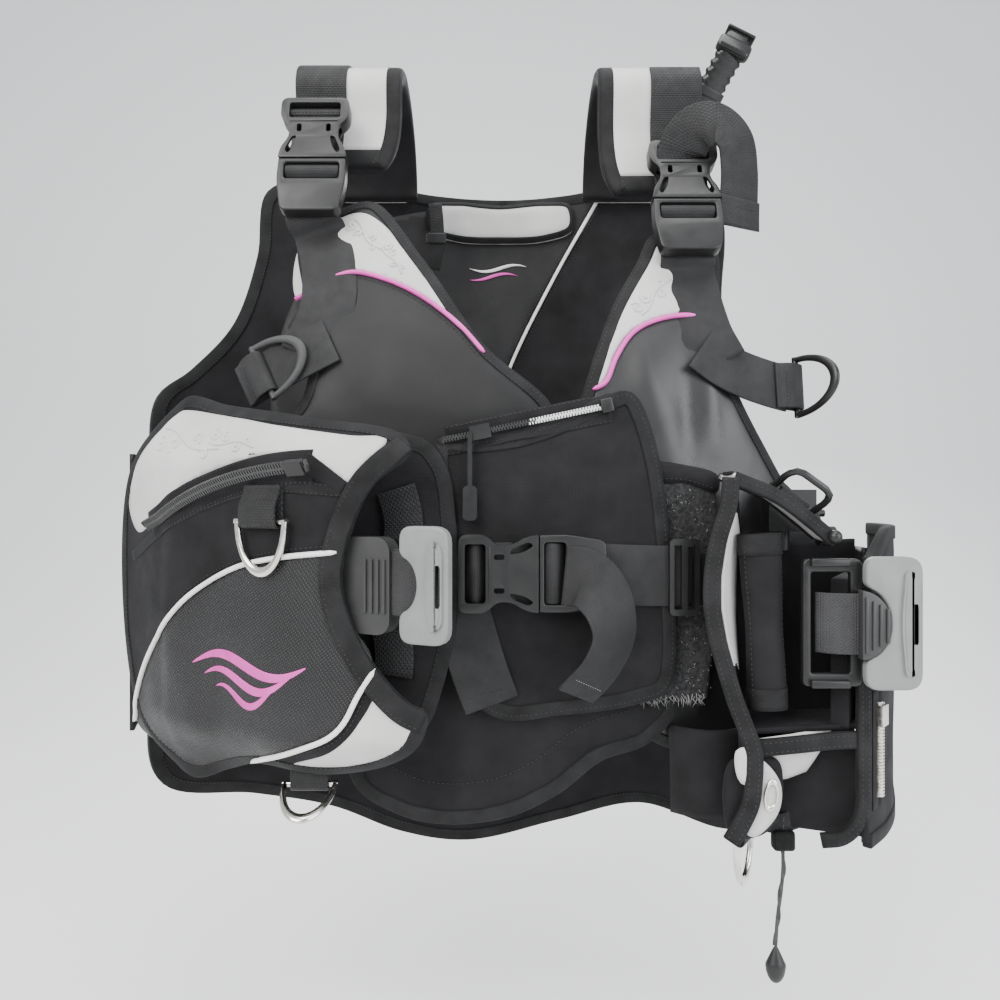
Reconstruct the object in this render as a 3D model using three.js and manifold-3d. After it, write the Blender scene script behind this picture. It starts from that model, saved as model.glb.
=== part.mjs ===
// A buoyancy compensator vest, hanging as it does from its shoulders.
// Millimetres, +Z up, the wearer faces -Y, and the wearer's right is at -X.
// The origin is the hang point: midway between the two shoulder pads, level with their undersides.
import * as THREE from "three";
import { mergeVertices } from "three/addons/utils/BufferGeometryUtils.js";
import Module from "manifold-3d";

const wasm = await Module();
wasm.setup();

// ---- Driving dimensions ----
const vestHalfWidth = 290; // at the waist, across the pockets
const vestLength = 640; // hang point to hem
const frontDepth = 118; // hang point to the front lobes at the waist
const backDepth = 88; // hang point to the back panel at the spine
const sideSweep = 100; // how far the front curls back at the sides
const backSweep = 80; // how far the back curls forward at the sides
const chestSetback = 62; // how much nearer the chest is at the shoulders

const fitGap = 0.6; // between sewn layers that lie on each other
const runGap = 0.5; // round a piece that slides or turns

const lobeThickness = 12;
const cummerbundThickness = 7;
const columnThickness = 2.5; // hook-and-loop column beside the zip panel
const zipPanelThickness = 6;
const pocketWall = 4;
const pocketRoom = 30; // between the pocket's two walls, where the weight pouch goes
const backPanelThickness = 8;
const bladderThickness = 24;
const webbingThickness = 2;
const webbingWidth = 40;
const bandWidth = 50; // tank band
const bandThickness = 2.6;
const padThickness = 14;
const padWidth = 78;
const padX = 112; // centre of each shoulder pad
const padArchHalf = 64; // half the pad's reach from front to back
const padBackDrop = 44;

const buckleWidth = webbingWidth + 9;
const buckleThickness = 11;
const buckleWall = 2.2;
const buckleHousingLength = 50;
const buckleFrameLength = 20;
const buckleShieldLength = 22; // rounded plate below the webbing slot of a shoulder buckle
const waistShieldLength = 12;

const plateWidth = 168; // rigid backpack
const plateLength = 330;
const plateThickness = 6;
const tankBandSpan = 232;
const tankBandDepth = 112;
const pouchLength = 112;
const pouchHeight = 88;
const pouchThickness = 11;

// ---- Materials ----
const finish = (color, roughness, metalness = 0) =>
  new THREE.MeshStandardMaterial({ color, roughness, metalness });
const blackFabric = finish(0x18181c, 0.85);
const coatedFabric = finish(0x232427, 0.5);
const silverFabric = finish(0xd4d3ce, 0.6);
const webbingFabric = finish(0x2a2b2d, 0.8);
const blackPlastic = finish(0x2b2c2e, 0.4);
const greyPlastic = finish(0xa9acac, 0.45);
const steel = finish(0xd8d8d4, 0.2, 1);
const rubber = finish(0x1c1c1e, 0.5);

const vest = new THREE.Group();

// ---- Solids ----
const solidOf = (geometry) => {
  const bare = geometry.clone();
  bare.deleteAttribute("normal");
  bare.deleteAttribute("uv");
  const merged = mergeVertices(bare, 1e-4);
  return new wasm.Manifold(
    new wasm.Mesh({
      numProp: 3,
      vertProperties: new Float32Array(merged.attributes.position.array),
      triVerts: new Uint32Array(merged.index.array),
    }),
  );
};

const geometryOf = (solid) => {
  const mesh = solid.getMesh();
  const points = new Float32Array(mesh.numVert * 3);
  for (let i = 0; i < mesh.numVert; i++) {
    points.set(mesh.vertProperties.subarray(i * mesh.numProp, i * mesh.numProp + 3), i * 3);
  }
  return new THREE.BufferGeometry()
    .setAttribute("position", new THREE.BufferAttribute(points, 3))
    .setIndex(new THREE.BufferAttribute(new Uint32Array(mesh.triVerts), 1));
};

const add = (name, shape, material, parent = vest) => {
  const mesh = new THREE.Mesh(shape.isBufferGeometry ? shape : geometryOf(shape), material);
  mesh.name = name;
  parent.add(mesh);
  return mesh;
};

const cut = (solid, ...tools) => tools.reduce((left, tool) => left.subtract(tool), solid);
const join = (...solids) => solids.reduce((left, right) => left.add(right));

const boxAt = (x0, x1, y0, y1, z0, z1) =>
  solidOf(
    new THREE.BoxGeometry(x1 - x0, y1 - y0, z1 - z0).translate((x0 + x1) / 2, (y0 + y1) / 2, (z0 + z1) / 2),
  );

// A cylinder along Y, centred at (x, y, z).
const discAt = (x, y, z, radius, thickness, sides = 20) =>
  solidOf(new THREE.CylinderGeometry(radius, radius, thickness, sides).translate(x, y, z));

const shapeOf = (points) => new THREE.Shape(points.map(([x, z]) => new THREE.Vector2(x, z)));

// A flat outline in X and Z, extruded along Y from y0 to y1.
const plateAt = (outline, y0, y1) => {
  const depth = y1 - y0;
  const geometry = new THREE.ExtrudeGeometry(outline, { depth, bevelEnabled: false, curveSegments: 4 });
  return solidOf(geometry.rotateX(Math.PI / 2).translate(0, y1, 0));
};

const roundedOutline = (width, height, radius, centreX = 0, centreZ = 0) => {
  const x = centreX - width / 2;
  const z = centreZ - height / 2;
  const r = Math.min(radius, width / 2 - 0.1, height / 2 - 0.1);
  const s = new THREE.Shape();
  s.moveTo(x + r, z);
  s.lineTo(x + width - r, z);
  s.absarc(x + width - r, z + r, r, -Math.PI / 2, 0);
  s.lineTo(x + width, z + height - r);
  s.absarc(x + width - r, z + height - r, r, 0, Math.PI / 2);
  s.lineTo(x + r, z + height);
  s.absarc(x + r, z + height - r, r, Math.PI / 2, Math.PI);
  s.lineTo(x, z + r);
  s.absarc(x + r, z + r, r, Math.PI, Math.PI * 1.5);
  return s;
};

const farAway = 400; // cutting tools reach this far

// ---- The vest's own surfaces ----
// Outlines are drawn on a vest 290 wide each side and 640 long, and stretched to the driving size.
const drawnHalfWidth = 290;
const drawnLength = 640;
const acrossRatio = vestHalfWidth / drawnHalfWidth;
const downRatio = vestLength / drawnLength;
const X = (x) => x * acrossRatio;
const Z = (z) => z * downRatio;

const ease = (t) => {
  const c = Math.min(1, Math.max(0, t));
  return c * c * (3 - 2 * c);
};
const curl = (x) => (Math.min(Math.abs(x), vestHalfWidth * 1.04) / vestHalfWidth) ** 3;
const chestTop = -40; // where the setback is full
const chestFoot = -270; // where it has run out

const frontSurface = (x, z) =>
  chestSetback * ease((z - Z(chestFoot)) / (Z(chestTop) - Z(chestFoot))) - frontDepth + sideSweep * curl(x);
const backSurface = (x) => backDepth - backSweep * curl(x);

// Layers on the front surface: each value is the layer's outer face, ahead of the surface.
const chestWebFace = fitGap + webbingThickness;
const cummerbundFace = fitGap + cummerbundThickness;
const columnFace = cummerbundFace + fitGap + columnThickness;
const zipPanelFace = columnFace + fitGap + zipPanelThickness;
const waistWebFace = zipPanelFace + fitGap + webbingThickness;

// The pocket's back wall leaves the body towards the middle, to pass over the cummerbund and zip panel.
const pocketStepStart = -190;
const pocketStepEnd = -120;
const pocketStep = (x) => ease((x - X(pocketStepStart)) / X(pocketStepEnd - pocketStepStart));
const pocketBack = (x, z) => frontSurface(x, z) - fitGap - zipPanelFace * pocketStep(x);
// The room between the walls closes towards the pocket's outer, top and bottom edges.
const pocketFront = (x, z) => {
  const fromSide = ease((x - X(-268)) / 50);
  const fromTop = ease((Z(-256) - z) / 48);
  const fromFoot = ease((z - Z(-512)) / 46);
  return pocketBack(x, z) - pocketWall - fitGap - (pocketRoom - fitGap) * fromSide * fromTop * fromFoot;
};

// A sheet of cloth between surface + near and surface + far. Layers of one surface share one grid, so they stay
// parallel.
const frontPitch = 24;
const backPitch = 40;
const sheetMargin = 24;
const sheetOn = (surface, near, far) => {
  const pitch = surface === backSurface ? backPitch : frontPitch;
  const x0 = -vestHalfWidth - sheetMargin;
  const z0 = -vestLength - sheetMargin;
  const nx = Math.ceil((2 * vestHalfWidth + 2 * sheetMargin) / pitch);
  const nz = Math.ceil((vestLength + 2 * sheetMargin) / pitch);
  const points = [];
  for (const offset of [near, far]) {
    for (let i = 0; i <= nx; i++) {
      for (let k = 0; k <= nz; k++) {
        const x = x0 + i * pitch;
        const z = z0 + k * pitch;
        points.push(x, surface(x, z) + offset, z);
      }
    }
  }
  const layer = (nx + 1) * (nz + 1);
  const at = (i, k, side) => side * layer + i * (nz + 1) + k;
  const faces = [];
  const quad = (a, b, c, d) => faces.push(a, b, c, a, c, d);
  for (let i = 0; i < nx; i++) {
    for (let k = 0; k < nz; k++) {
      quad(at(i, k, 0), at(i + 1, k, 0), at(i + 1, k + 1, 0), at(i, k + 1, 0));
      quad(at(i, k, 1), at(i, k + 1, 1), at(i + 1, k + 1, 1), at(i + 1, k, 1));
    }
  }
  for (let i = 0; i < nx; i++) {
    quad(at(i, 0, 0), at(i, 0, 1), at(i + 1, 0, 1), at(i + 1, 0, 0));
    quad(at(i, nz, 0), at(i + 1, nz, 0), at(i + 1, nz, 1), at(i, nz, 1));
  }
  for (let k = 0; k < nz; k++) {
    quad(at(0, k, 0), at(0, k + 1, 0), at(0, k + 1, 1), at(0, k, 1));
    quad(at(nx, k, 0), at(nx, k, 1), at(nx, k + 1, 1), at(nx, k + 1, 0));
  }
  const geometry = new THREE.BufferGeometry()
    .setAttribute("position", new THREE.BufferAttribute(new Float32Array(points), 3))
    .setIndex(faces);
  return solidOf(geometry);
};

// A smooth closed outline through points given as [x, z] on the drawn vest.
const smoothOutline = (points, samples = points.length * 2) => {
  const curve = new THREE.CatmullRomCurve3(
    points.map(([x, z]) => new THREE.Vector3(X(x), 0, Z(z))),
    true,
    "centripetal",
  );
  return shapeOf(
    curve
      .getPoints(samples)
      .slice(0, -1)
      .map((p) => [p.x, p.z]),
  );
};
const straightOutline = (points) => shapeOf(points.map(([x, z]) => [X(x), Z(z)]));

const cloth = (surface, near, thickness, outline) =>
  sheetOn(surface, near, near + thickness).intersect(plateAt(outline, -farAway, farAway));
const clothPanel = (name, surface, near, thickness, outline, material) =>
  add(name, cloth(surface, near, thickness, outline), material);

// ---- Back: liner, bladder, rigid backpack ----
clothPanel(
  "back_panel",
  backSurface,
  0,
  backPanelThickness,
  smoothOutline([
    [0, -50], [-60, -46], [-110, -38], [-168, -36], [-205, -52], [-213, -110], [-231, -172], [-262, -216],
    [-283, -240], [-286, -330], [-284, -440], [-280, -560], [-215, -582], [-150, -602], [-90, -628], [-30, -637],
    [55, -618], [128, -600], [200, -616], [250, -600], [266, -500], [280, -420], [272, -350], [236, -300],
    [206, -240], [196, -150], [196, -70], [168, -38], [110, -38], [60, -46],
  ]),
  blackFabric,
);
const bladderNear = backPanelThickness + fitGap;
clothPanel(
  "air_bladder",
  backSurface,
  bladderNear,
  bladderThickness,
  smoothOutline([
    [0, -72], [-90, -62], [-160, -62], [-190, -100], [-206, -190], [-250, -262], [-262, -360], [-258, -480],
    [-215, -555], [-120, -585], [0, -596], [120, -585], [215, -560], [248, -480], [250, -390], [214, -300],
    [184, -200], [176, -100], [150, -62], [80, -62],
  ]),
  coatedFabric,
);
const plateNear = backDepth + bladderNear + bladderThickness + fitGap;
const plateTop = -96;
const plateFoot = plateTop - plateLength;
const plateCorner = 36;
const slotHalfWidth = 4;
const slotHalfHeight = bandWidth / 2 + 2;
const slotX = 62; // each side of the middle
const bandZ = plateTop - plateLength * 0.42;
const lowerSlotZ = plateFoot + 70;
const plateSlot = (x, z) =>
  boxAt(x - slotHalfWidth, x + slotHalfWidth, 0, farAway, z - slotHalfHeight, z + slotHalfHeight);
const plateMiddle = plateTop - plateLength / 2;
const backpack = cut(
  plateAt(
    roundedOutline(plateWidth, plateLength, plateCorner, 0, plateMiddle),
    plateNear,
    plateNear + plateThickness,
  ),
  ...[-slotX, slotX].flatMap((x) => [plateSlot(x, bandZ), plateSlot(x, lowerSlotZ)]),
  plateAt(roundedOutline(64, 22, 10, 0, plateTop - 26), 0, farAway),
);
add("backpack_plate", backpack, blackPlastic);
const plateBack = plateNear + plateThickness;

// Carrying handle: a bow over the top of the backpack.
const handleSpan = 110;
const handleHeight = 74;
const handleBar = 9;
const handleThickness = 7;
const handleZ = plateTop - 8;
const handleOutline = roundedOutline(handleSpan, handleHeight, 22, 0, handleZ);
handleOutline.holes.push(
  roundedOutline(handleSpan - 2 * handleBar, handleHeight - 2 * handleBar, 14, 0, handleZ),
);
add(
  "carry_handle",
  plateAt(handleOutline, plateBack + fitGap, plateBack + fitGap + handleThickness),
  rubber,
);

// Tank band: one loop behind the backpack, with its cam buckle at the back.
const bandNear = plateBack + fitGap;
const loopSides = 40;
const loopFullness = 0.8; // below 1 the loop is squarer than an ellipse
const bulge = (t) => Math.sign(t) * Math.abs(t) ** loopFullness;
const loopOutline = (inset) => {
  const w = tankBandSpan / 2 - inset;
  const d = tankBandDepth / 2 - inset;
  const points = [];
  for (let i = 0; i < loopSides; i++) {
    const a = (i / loopSides) * Math.PI * 2;
    points.push([w * bulge(Math.cos(a)), d * bulge(Math.sin(a))]);
  }
  return points;
};
const loopShape = shapeOf(loopOutline(0));
loopShape.holes.push(new THREE.Path(loopOutline(bandThickness).map(([x, y]) => new THREE.Vector2(x, y))));
const bandCentreY = bandNear + tankBandDepth / 2;
add(
  "tank_band",
  solidOf(
    new THREE.ExtrudeGeometry(loopShape, { depth: bandWidth, bevelEnabled: false }).translate(
      0,
      bandCentreY,
      bandZ - bandWidth / 2,
    ),
  ),
  webbingFabric,
);
const camBase = bandNear + tankBandDepth + runGap;
const camLength = 62;
const camWall = 4;
const camFloor = 3;
const camDepth = 15;
const camPinX = camLength / 2 - 9;
const camPinY = camBase + 9;
const camHalf = bandWidth / 2 + 5;
const camCheek = camHalf - camWall;
const camSlotX = -camLength / 2 + 10;
const camSlotHalf = 4;
const pinRadius = 2.5;
const leverLength = 54;
const leverThickness = 10;
const leverHalf = camCheek - runGap;
// A cylinder along Z, on the cam's pin.
const pinDisc = (radius, half) =>
  solidOf(
    new THREE.CylinderGeometry(radius, radius, 2 * half, 16)
      .rotateX(Math.PI / 2)
      .translate(camPinX, camPinY, bandZ),
  );
const camBody = cut(
  boxAt(-camLength / 2, camLength / 2, camBase, camBase + camDepth, bandZ - camHalf, bandZ + camHalf),
  boxAt(-camLength, camLength, camBase + camFloor, farAway, bandZ - camCheek, bandZ + camCheek),
  boxAt(
    camSlotX - camSlotHalf,
    camSlotX + camSlotHalf,
    0,
    farAway,
    bandZ - bandWidth / 2,
    bandZ + bandWidth / 2,
  ),
);
add("cam_buckle_body", join(camBody, pinDisc(pinRadius, camHalf - 0.01)), blackPlastic);
const leverArm = boxAt(
  camPinX - leverLength,
  camPinX,
  camPinY - leverThickness / 2,
  camPinY + leverThickness / 2,
  bandZ - leverHalf,
  bandZ + leverHalf,
);
add(
  "cam_buckle_lever",
  cut(join(leverArm, pinDisc(leverThickness / 2, leverHalf)), pinDisc(pinRadius + runGap, bandWidth)),
  blackPlastic,
);

// Dump valves on the bladder's back.
const valveRadius = 23;
const valveHeight = 8;
const valveCapHeight = 6;
const dumpValve = (name, x, z) => {
  const seat = backSurface(Math.abs(x) - valveRadius) + bladderNear + bladderThickness;
  const body = discAt(x, seat + valveHeight / 2, z, valveRadius, valveHeight);
  const cap = discAt(x, seat + valveHeight + valveCapHeight / 2, z, valveRadius - 6, valveCapHeight + 0.02);
  add(name, join(body, cap), blackPlastic);
};
dumpValve("shoulder_dump_valve", X(-118), Z(-126));
dumpValve("rear_dump_valve", X(176), Z(-492));


// Padded collar inside the top of the back.
const collarThickness = 9;
clothPanel(
  "neck_collar",
  backSurface,
  -fitGap - collarThickness,
  collarThickness,
  smoothOutline([
    [0, -56], [-40, -53], [-64, -56], [-66, -78], [-40, -88], [0, -90], [40, -88], [66, -78], [64, -56], [40, -53],
  ]),
  silverFabric,
);

// ---- Front lobes ----
clothPanel(
  "right_front_lobe",
  frontSurface,
  0,
  lobeThickness,
  smoothOutline([
    [-146, -128], [-118, -112], [-93, -107], [-56, -153], [-10, -221], [34, -262], [40, -290], [38, -362],
    [-30, -400], [-58, -486], [-150, -500], [-240, -492], [-262, -410], [-255, -300], [-192, -278], [-140, -264],
    [-130, -240], [-136, -190],
  ]),
  coatedFabric,
);
clothPanel(
  "left_front_lobe",
  frontSurface,
  0,
  lobeThickness,
  smoothOutline([
    [110, -134], [134, -128], [157, -136], [156, -180], [153, -222], [168, -262], [206, -280], [255, -300],
    [262, -410], [240, -492], [150, -500], [92, -478], [62, -400], [48, -320], [50, -276], [60, -240], [78, -192],
    [98, -156],
  ]),
  coatedFabric,
);

// ---- Waist: cummerbund, hook-and-loop column, zip panel ----
clothPanel(
  "cummerbund",
  frontSurface,
  -cummerbundFace,
  cummerbundThickness,
  smoothOutline([
    [-90, -338], [0, -334], [84, -338], [118, -400], [124, -452], [98, -484], [66, -495], [38, -516], [6, -531],
    [-34, -536], [-66, -530], [-96, -510], [-100, -430],
  ]),
  blackFabric,
);
clothPanel(
  "hook_column",
  frontSurface,
  -columnFace,
  columnThickness,
  straightOutline([
    [98, -302], [143, -310], [146, -391], [136, -456], [112, -462], [84, -452], [88, -390],
  ]),
  blackFabric,
);
clothPanel(
  "zip_panel",
  frontSurface,
  -zipPanelFace,
  zipPanelThickness,
  smoothOutline([
    [-39, -287], [-13, -286], [14, -282], [42, -272], [66, -260], [84, -256], [97, -280], [108, -340],
    [109, -446], [90, -455], [39, -462], [0, -464], [-20, -448], [-30, -389], [-39, -330],
  ]),
  blackFabric,
);

clothPanel(
  "waist_webbing",
  frontSurface,
  -waistWebFace,
  webbingThickness,
  straightOutline([
    [34, -350], [124, -354], [124, -395], [34, -390],
  ]),
  webbingFabric,
);

// ---- Ribbons: a constant thickness about a line, in a plane ----
const offsetLine = (line, distance) =>
  line.map((point, i) => {
    const before = line[Math.max(0, i - 1)];
    const after = line[Math.min(line.length - 1, i + 1)];
    const dx = after[0] - before[0];
    const dy = after[1] - before[1];
    const length = Math.hypot(dx, dy);
    return [point[0] - (dy / length) * distance, point[1] + (dx / length) * distance];
  });
const ribbon = (line, near, far) => [...offsetLine(line, near), ...offsetLine(line, far).reverse()];
const curveThrough = (points, steps) =>
  new THREE.CatmullRomCurve3(points.map(([a, b]) => new THREE.Vector3(a, b, 0)), false, "centripetal")
    .getPoints(steps)
    .map((p) => [p.x, p.y]);
// An outline in Y and Z, extruded along X.
const acrossX = (outline, x0, x1) =>
  solidOf(
    new THREE.ExtrudeGeometry(shapeOf(outline), { depth: x1 - x0, bevelEnabled: false })
      .rotateZ(Math.PI / 2)
      .rotateY(Math.PI / 2)
      .translate(x0, 0, 0),
  );
// An outline in X and Y, extruded along Z.
const alongZ = (outline, z0, z1) =>
  solidOf(
    new THREE.ExtrudeGeometry(shapeOf(outline), { depth: z1 - z0, bevelEnabled: false }).translate(0, 0, z0),
  );

// ---- Shoulder pads, arched from the chest over the shoulder to the back ----
const padMiddle = X(padX);
const padSetback = 6; // behind the chest's surface, for the webbing and the buckle
const padSteps = 22;
const padLine = (footZ) => {
  const frontY = (z) => frontSurface(padMiddle, z) + padSetback + padThickness / 2;
  const rearY = backSurface(padMiddle + padWidth / 2) - padThickness / 2 - 3 * fitGap;
  return curveThrough(
    [
      [frontY(footZ), footZ],
      [frontY(footZ / 2), footZ / 2],
      [-padArchHalf * 0.62, -8],
      [-padArchHalf * 0.3, padThickness / 2 - 2],
      [0, padThickness / 2],
      [padArchHalf * 0.45, 0],
      [padArchHalf * 0.85, -padBackDrop * 0.4],
      [rearY, -padBackDrop],
      [rearY, -padBackDrop - 12],
    ],
    padSteps,
  );
};
const padFootZ = { right: Z(-74), left: Z(-96) };
const sewnFrom = 4; // steps along the pad between which the webbing is sewn
const sewnTo = 11;
const sewnIn = 0.6;
const buckleX = { right: X(-134), left: X(132) };
const buckleTopZ = { right: Z(-35), left: Z(-68) };
const socketDepth = 30; // room in the female half for the prongs
const socketTop = buckleHousingLength - socketDepth;
const barRadius = 1.8;
const barZ = -10.5; // the ladder bar, in the middle of its window
const barWindow = { top: -4, foot: -17 };
const sideNotch = { top: -27, foot: -42, depth: 3 };
const peepHole = { near: 4, far: 9, top: -27, foot: -32 };
const windowHalf = webbingWidth / 2 + 0.8;
const buckleInside = buckleWidth / 2 - buckleWall;

// A side-release buckle in its own axes: back face at Y = 0, the female half from Z = 0 down, the male below it.
const buckleOutline = (top, foot, radius) =>
  roundedOutline(buckleWidth, top - foot, radius, 0, (top + foot) / 2);
const bar = (z) =>
  solidOf(
    new THREE.CylinderGeometry(barRadius, barRadius, 2 * windowHalf + 2, 8)
      .rotateZ(Math.PI / 2)
      .translate(0, -buckleThickness / 2, z),
  );
const femaleHalf = () => {
  const notchFront = -buckleThickness + sideNotch.depth;
  const notchSide = buckleInside - sideNotch.depth;
  const shell = cut(
    plateAt(buckleOutline(0, -buckleHousingLength, 5), -buckleThickness, 0),
    boxAt(-windowHalf, windowHalf, -farAway, farAway, barWindow.foot, barWindow.top),
    boxAt(-buckleInside, buckleInside, -buckleThickness + buckleWall, -buckleWall, -farAway, -socketTop),
    boxAt(-farAway, -notchSide, notchFront, -buckleWall, sideNotch.foot, sideNotch.top),
    boxAt(notchSide, farAway, notchFront, -buckleWall, sideNotch.foot, sideNotch.top),
    boxAt(-peepHole.far, -peepHole.near, -farAway, -buckleThickness + 4, peepHole.foot, peepHole.top),
    boxAt(peepHole.near, peepHole.far, -farAway, -buckleThickness + 4, peepHole.foot, peepHole.top),
  );
  return join(shell, bar(barZ));
};
const maleThickness = buckleThickness - 1.5;
const prongWidth = 6.5;
const tongueWidth = 12;
const slotTop = 4; // of the male half's webbing slot, below its top edge
const slotFoot = 15;
const prongThickness = buckleThickness - 2 * buckleWall - 2 * runGap;
const prongTop = -buckleHousingLength + socketDepth - 2 * runGap;
const maleTop = -buckleHousingLength - runGap;
const prong = (x, width) =>
  boxAt(
    x - width / 2,
    x + width / 2,
    -buckleThickness / 2 - prongThickness / 2,
    -buckleThickness / 2 + prongThickness / 2,
    maleTop - 2,
    prongTop,
  );
const maleHalf = (shieldLength) => {
  const maleFoot = maleTop - buckleFrameLength - shieldLength;
  const plate = cut(
    plateAt(buckleOutline(maleTop, maleFoot, 7), -maleThickness, 0),
    boxAt(-windowHalf, windowHalf, -farAway, farAway, maleTop - slotFoot, maleTop - slotTop),
  );
  const arm = buckleInside - runGap - prongWidth / 2;
  return join(plate, prong(-arm, prongWidth), prong(arm, prongWidth), prong(0, tongueWidth));
};
const buckleLength = buckleFrameLength + buckleShieldLength - maleTop;
const buckleStandoff = chestWebFace + 2 * fitGap + 0.2;
const maleTravel = 30;

const placed = (solid, matrix) => solid.transform(matrix.elements);
const at = (x, y, z, turnX = 0, turnY = 0, turnZ = 0) =>
  new THREE.Matrix4().makeTranslation(x, y, z).multiply(
    new THREE.Matrix4().makeRotationFromEuler(new THREE.Euler(turnX, turnY, turnZ, "ZYX")),
  );

const degrees = Math.PI / 180;
const facing = (x, y, z, turnX, turnY, turnZ) =>
  at(x, y, z, turnX * degrees, turnY * degrees, turnZ * degrees);

// A place on a surface: X along barTurn in the surface, -Y out of it.
const onSurface = (surface, standoff, x, z, barTurn) => {
  const step = 12;
  const slopeX = (surface(x + step, z) - surface(x - step, z)) / (2 * step);
  const slopeZ = (surface(x, z + step) - surface(x, z - step)) / (2 * step);
  const c = Math.cos(barTurn);
  const t = Math.sin(barTurn);
  const along = new THREE.Vector3(c, slopeX * c + slopeZ * t, t).normalize();
  const inward = new THREE.Vector3(-slopeX, 1, -slopeZ).normalize();
  const up = new THREE.Vector3().crossVectors(along, inward);
  const origin = new THREE.Vector3(x, surface(x, z), z).addScaledVector(inward, -standoff);
  return new THREE.Matrix4().makeBasis(along, inward, up).setPosition(origin);
};

// ---- Rings on webbing tabs ----
// In its own axes a ring's bar lies on X at the origin and its bow hangs down, and the ring turns about its bar.
const polygon = (radius, sides, start = 0) =>
  Array.from({ length: sides }, (_, i) => {
    const a = start + (i / sides) * Math.PI * 2;
    return [radius * Math.cos(a), radius * Math.sin(a)];
  });
const wireSides = 8;
const circle = (radius) => shapeOf(polygon(radius, wireSides));
const bowSteps = 16;
const bowRing = ({ width, drop, wire, square }) => {
  const w = width / 2 - wire / 2;
  const d = drop - wire / 2;
  const knee = w * (square ? 0.99 : 0.9);
  const toe = w * (square ? 0.77 : 0.58);
  const half = [[w, wire * 0.2], [w, -d * 0.35], [knee, -d * 0.7], [toe, -d * 0.96]];
  const line = [...half.map(([a, b]) => [-a, b]), [0, -d], ...half.reverse()];
  const path = new THREE.CatmullRomCurve3(
    line.map(([a, b]) => new THREE.Vector3(a, 0, b)),
    false,
    "centripetal",
  );
  const bow = solidOf(new THREE.ExtrudeGeometry(circle(wire / 2), { steps: bowSteps, extrudePath: path }));
  const straight = solidOf(new THREE.CylinderGeometry(wire / 2, wire / 2, width, 8).rotateZ(Math.PI / 2));
  return join(bow, straight);
};
// A tab is webbing folded round the bar, with both tails up behind it.
const eyeSides = 15;
const boreSides = 12;
const ringTab = ({ tab, wire, tail }) => {
  const inner = wire / 2 + runGap;
  const outer = inner + webbingThickness;
  const boreRadius = inner / Math.cos(Math.PI / boreSides); // its flats clear the bar
  const loop = acrossX(polygon(outer, eyeSides, 0.88), -tab / 2, tab / 2);
  const tails = boxAt(-tab / 2, tab / 2, outer - 2 * webbingThickness, outer, 0, tail);
  return cut(join(loop, tails), acrossX(polygon(boreRadius, boreSides), -tab, tab));
};
const addRing = (name, size, place, material) => add(name, placed(bowRing(size), place), material);
const tabAt = (size, place) => placed(ringTab(size), place);
const tabDepth = (wire) => wire / 2 + runGap + webbingThickness;

// The end of each chest webbing is folded round its ring. The right ring lies up, and the left one stands edge-on.
const sewn = 1.4; // how deep a tab is stitched into what carries it
const chestRing = { width: 44, drop: 34, wire: 4.4, tab: 33, tail: 16 };
const chestTabStandoff = chestWebFace + tabDepth(chestRing.wire) - sewn;
const chestTab = {
  right: onSurface(frontSurface, chestTabStandoff, X(-159), Z(-240), 118 * degrees),
  left: onSurface(frontSurface, chestTabStandoff, X(205), Z(-247), 90 * degrees),
};
const chestWebOutline = {
  right: [[-154, -128], [-114, -128], [-106, -206], [-134, -252], [-158, -240], [-174, -212], [-150, -190]],
  left: [
    [112, -160], [152, -160], [158, -212], [166, -226], [200, -232], [200, -262], [168, -256], [132, -240],
    [118, -196],
  ],
};
const turnedAboutBar = (place, turn) =>
  place.clone().multiply(new THREE.Matrix4().makeRotationX(turn * degrees));
addRing("right_chest_ring", chestRing, chestTab.right, greyPlastic);
addRing("left_chest_ring", chestRing, turnedAboutBar(chestTab.left, -88), blackPlastic);

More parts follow.
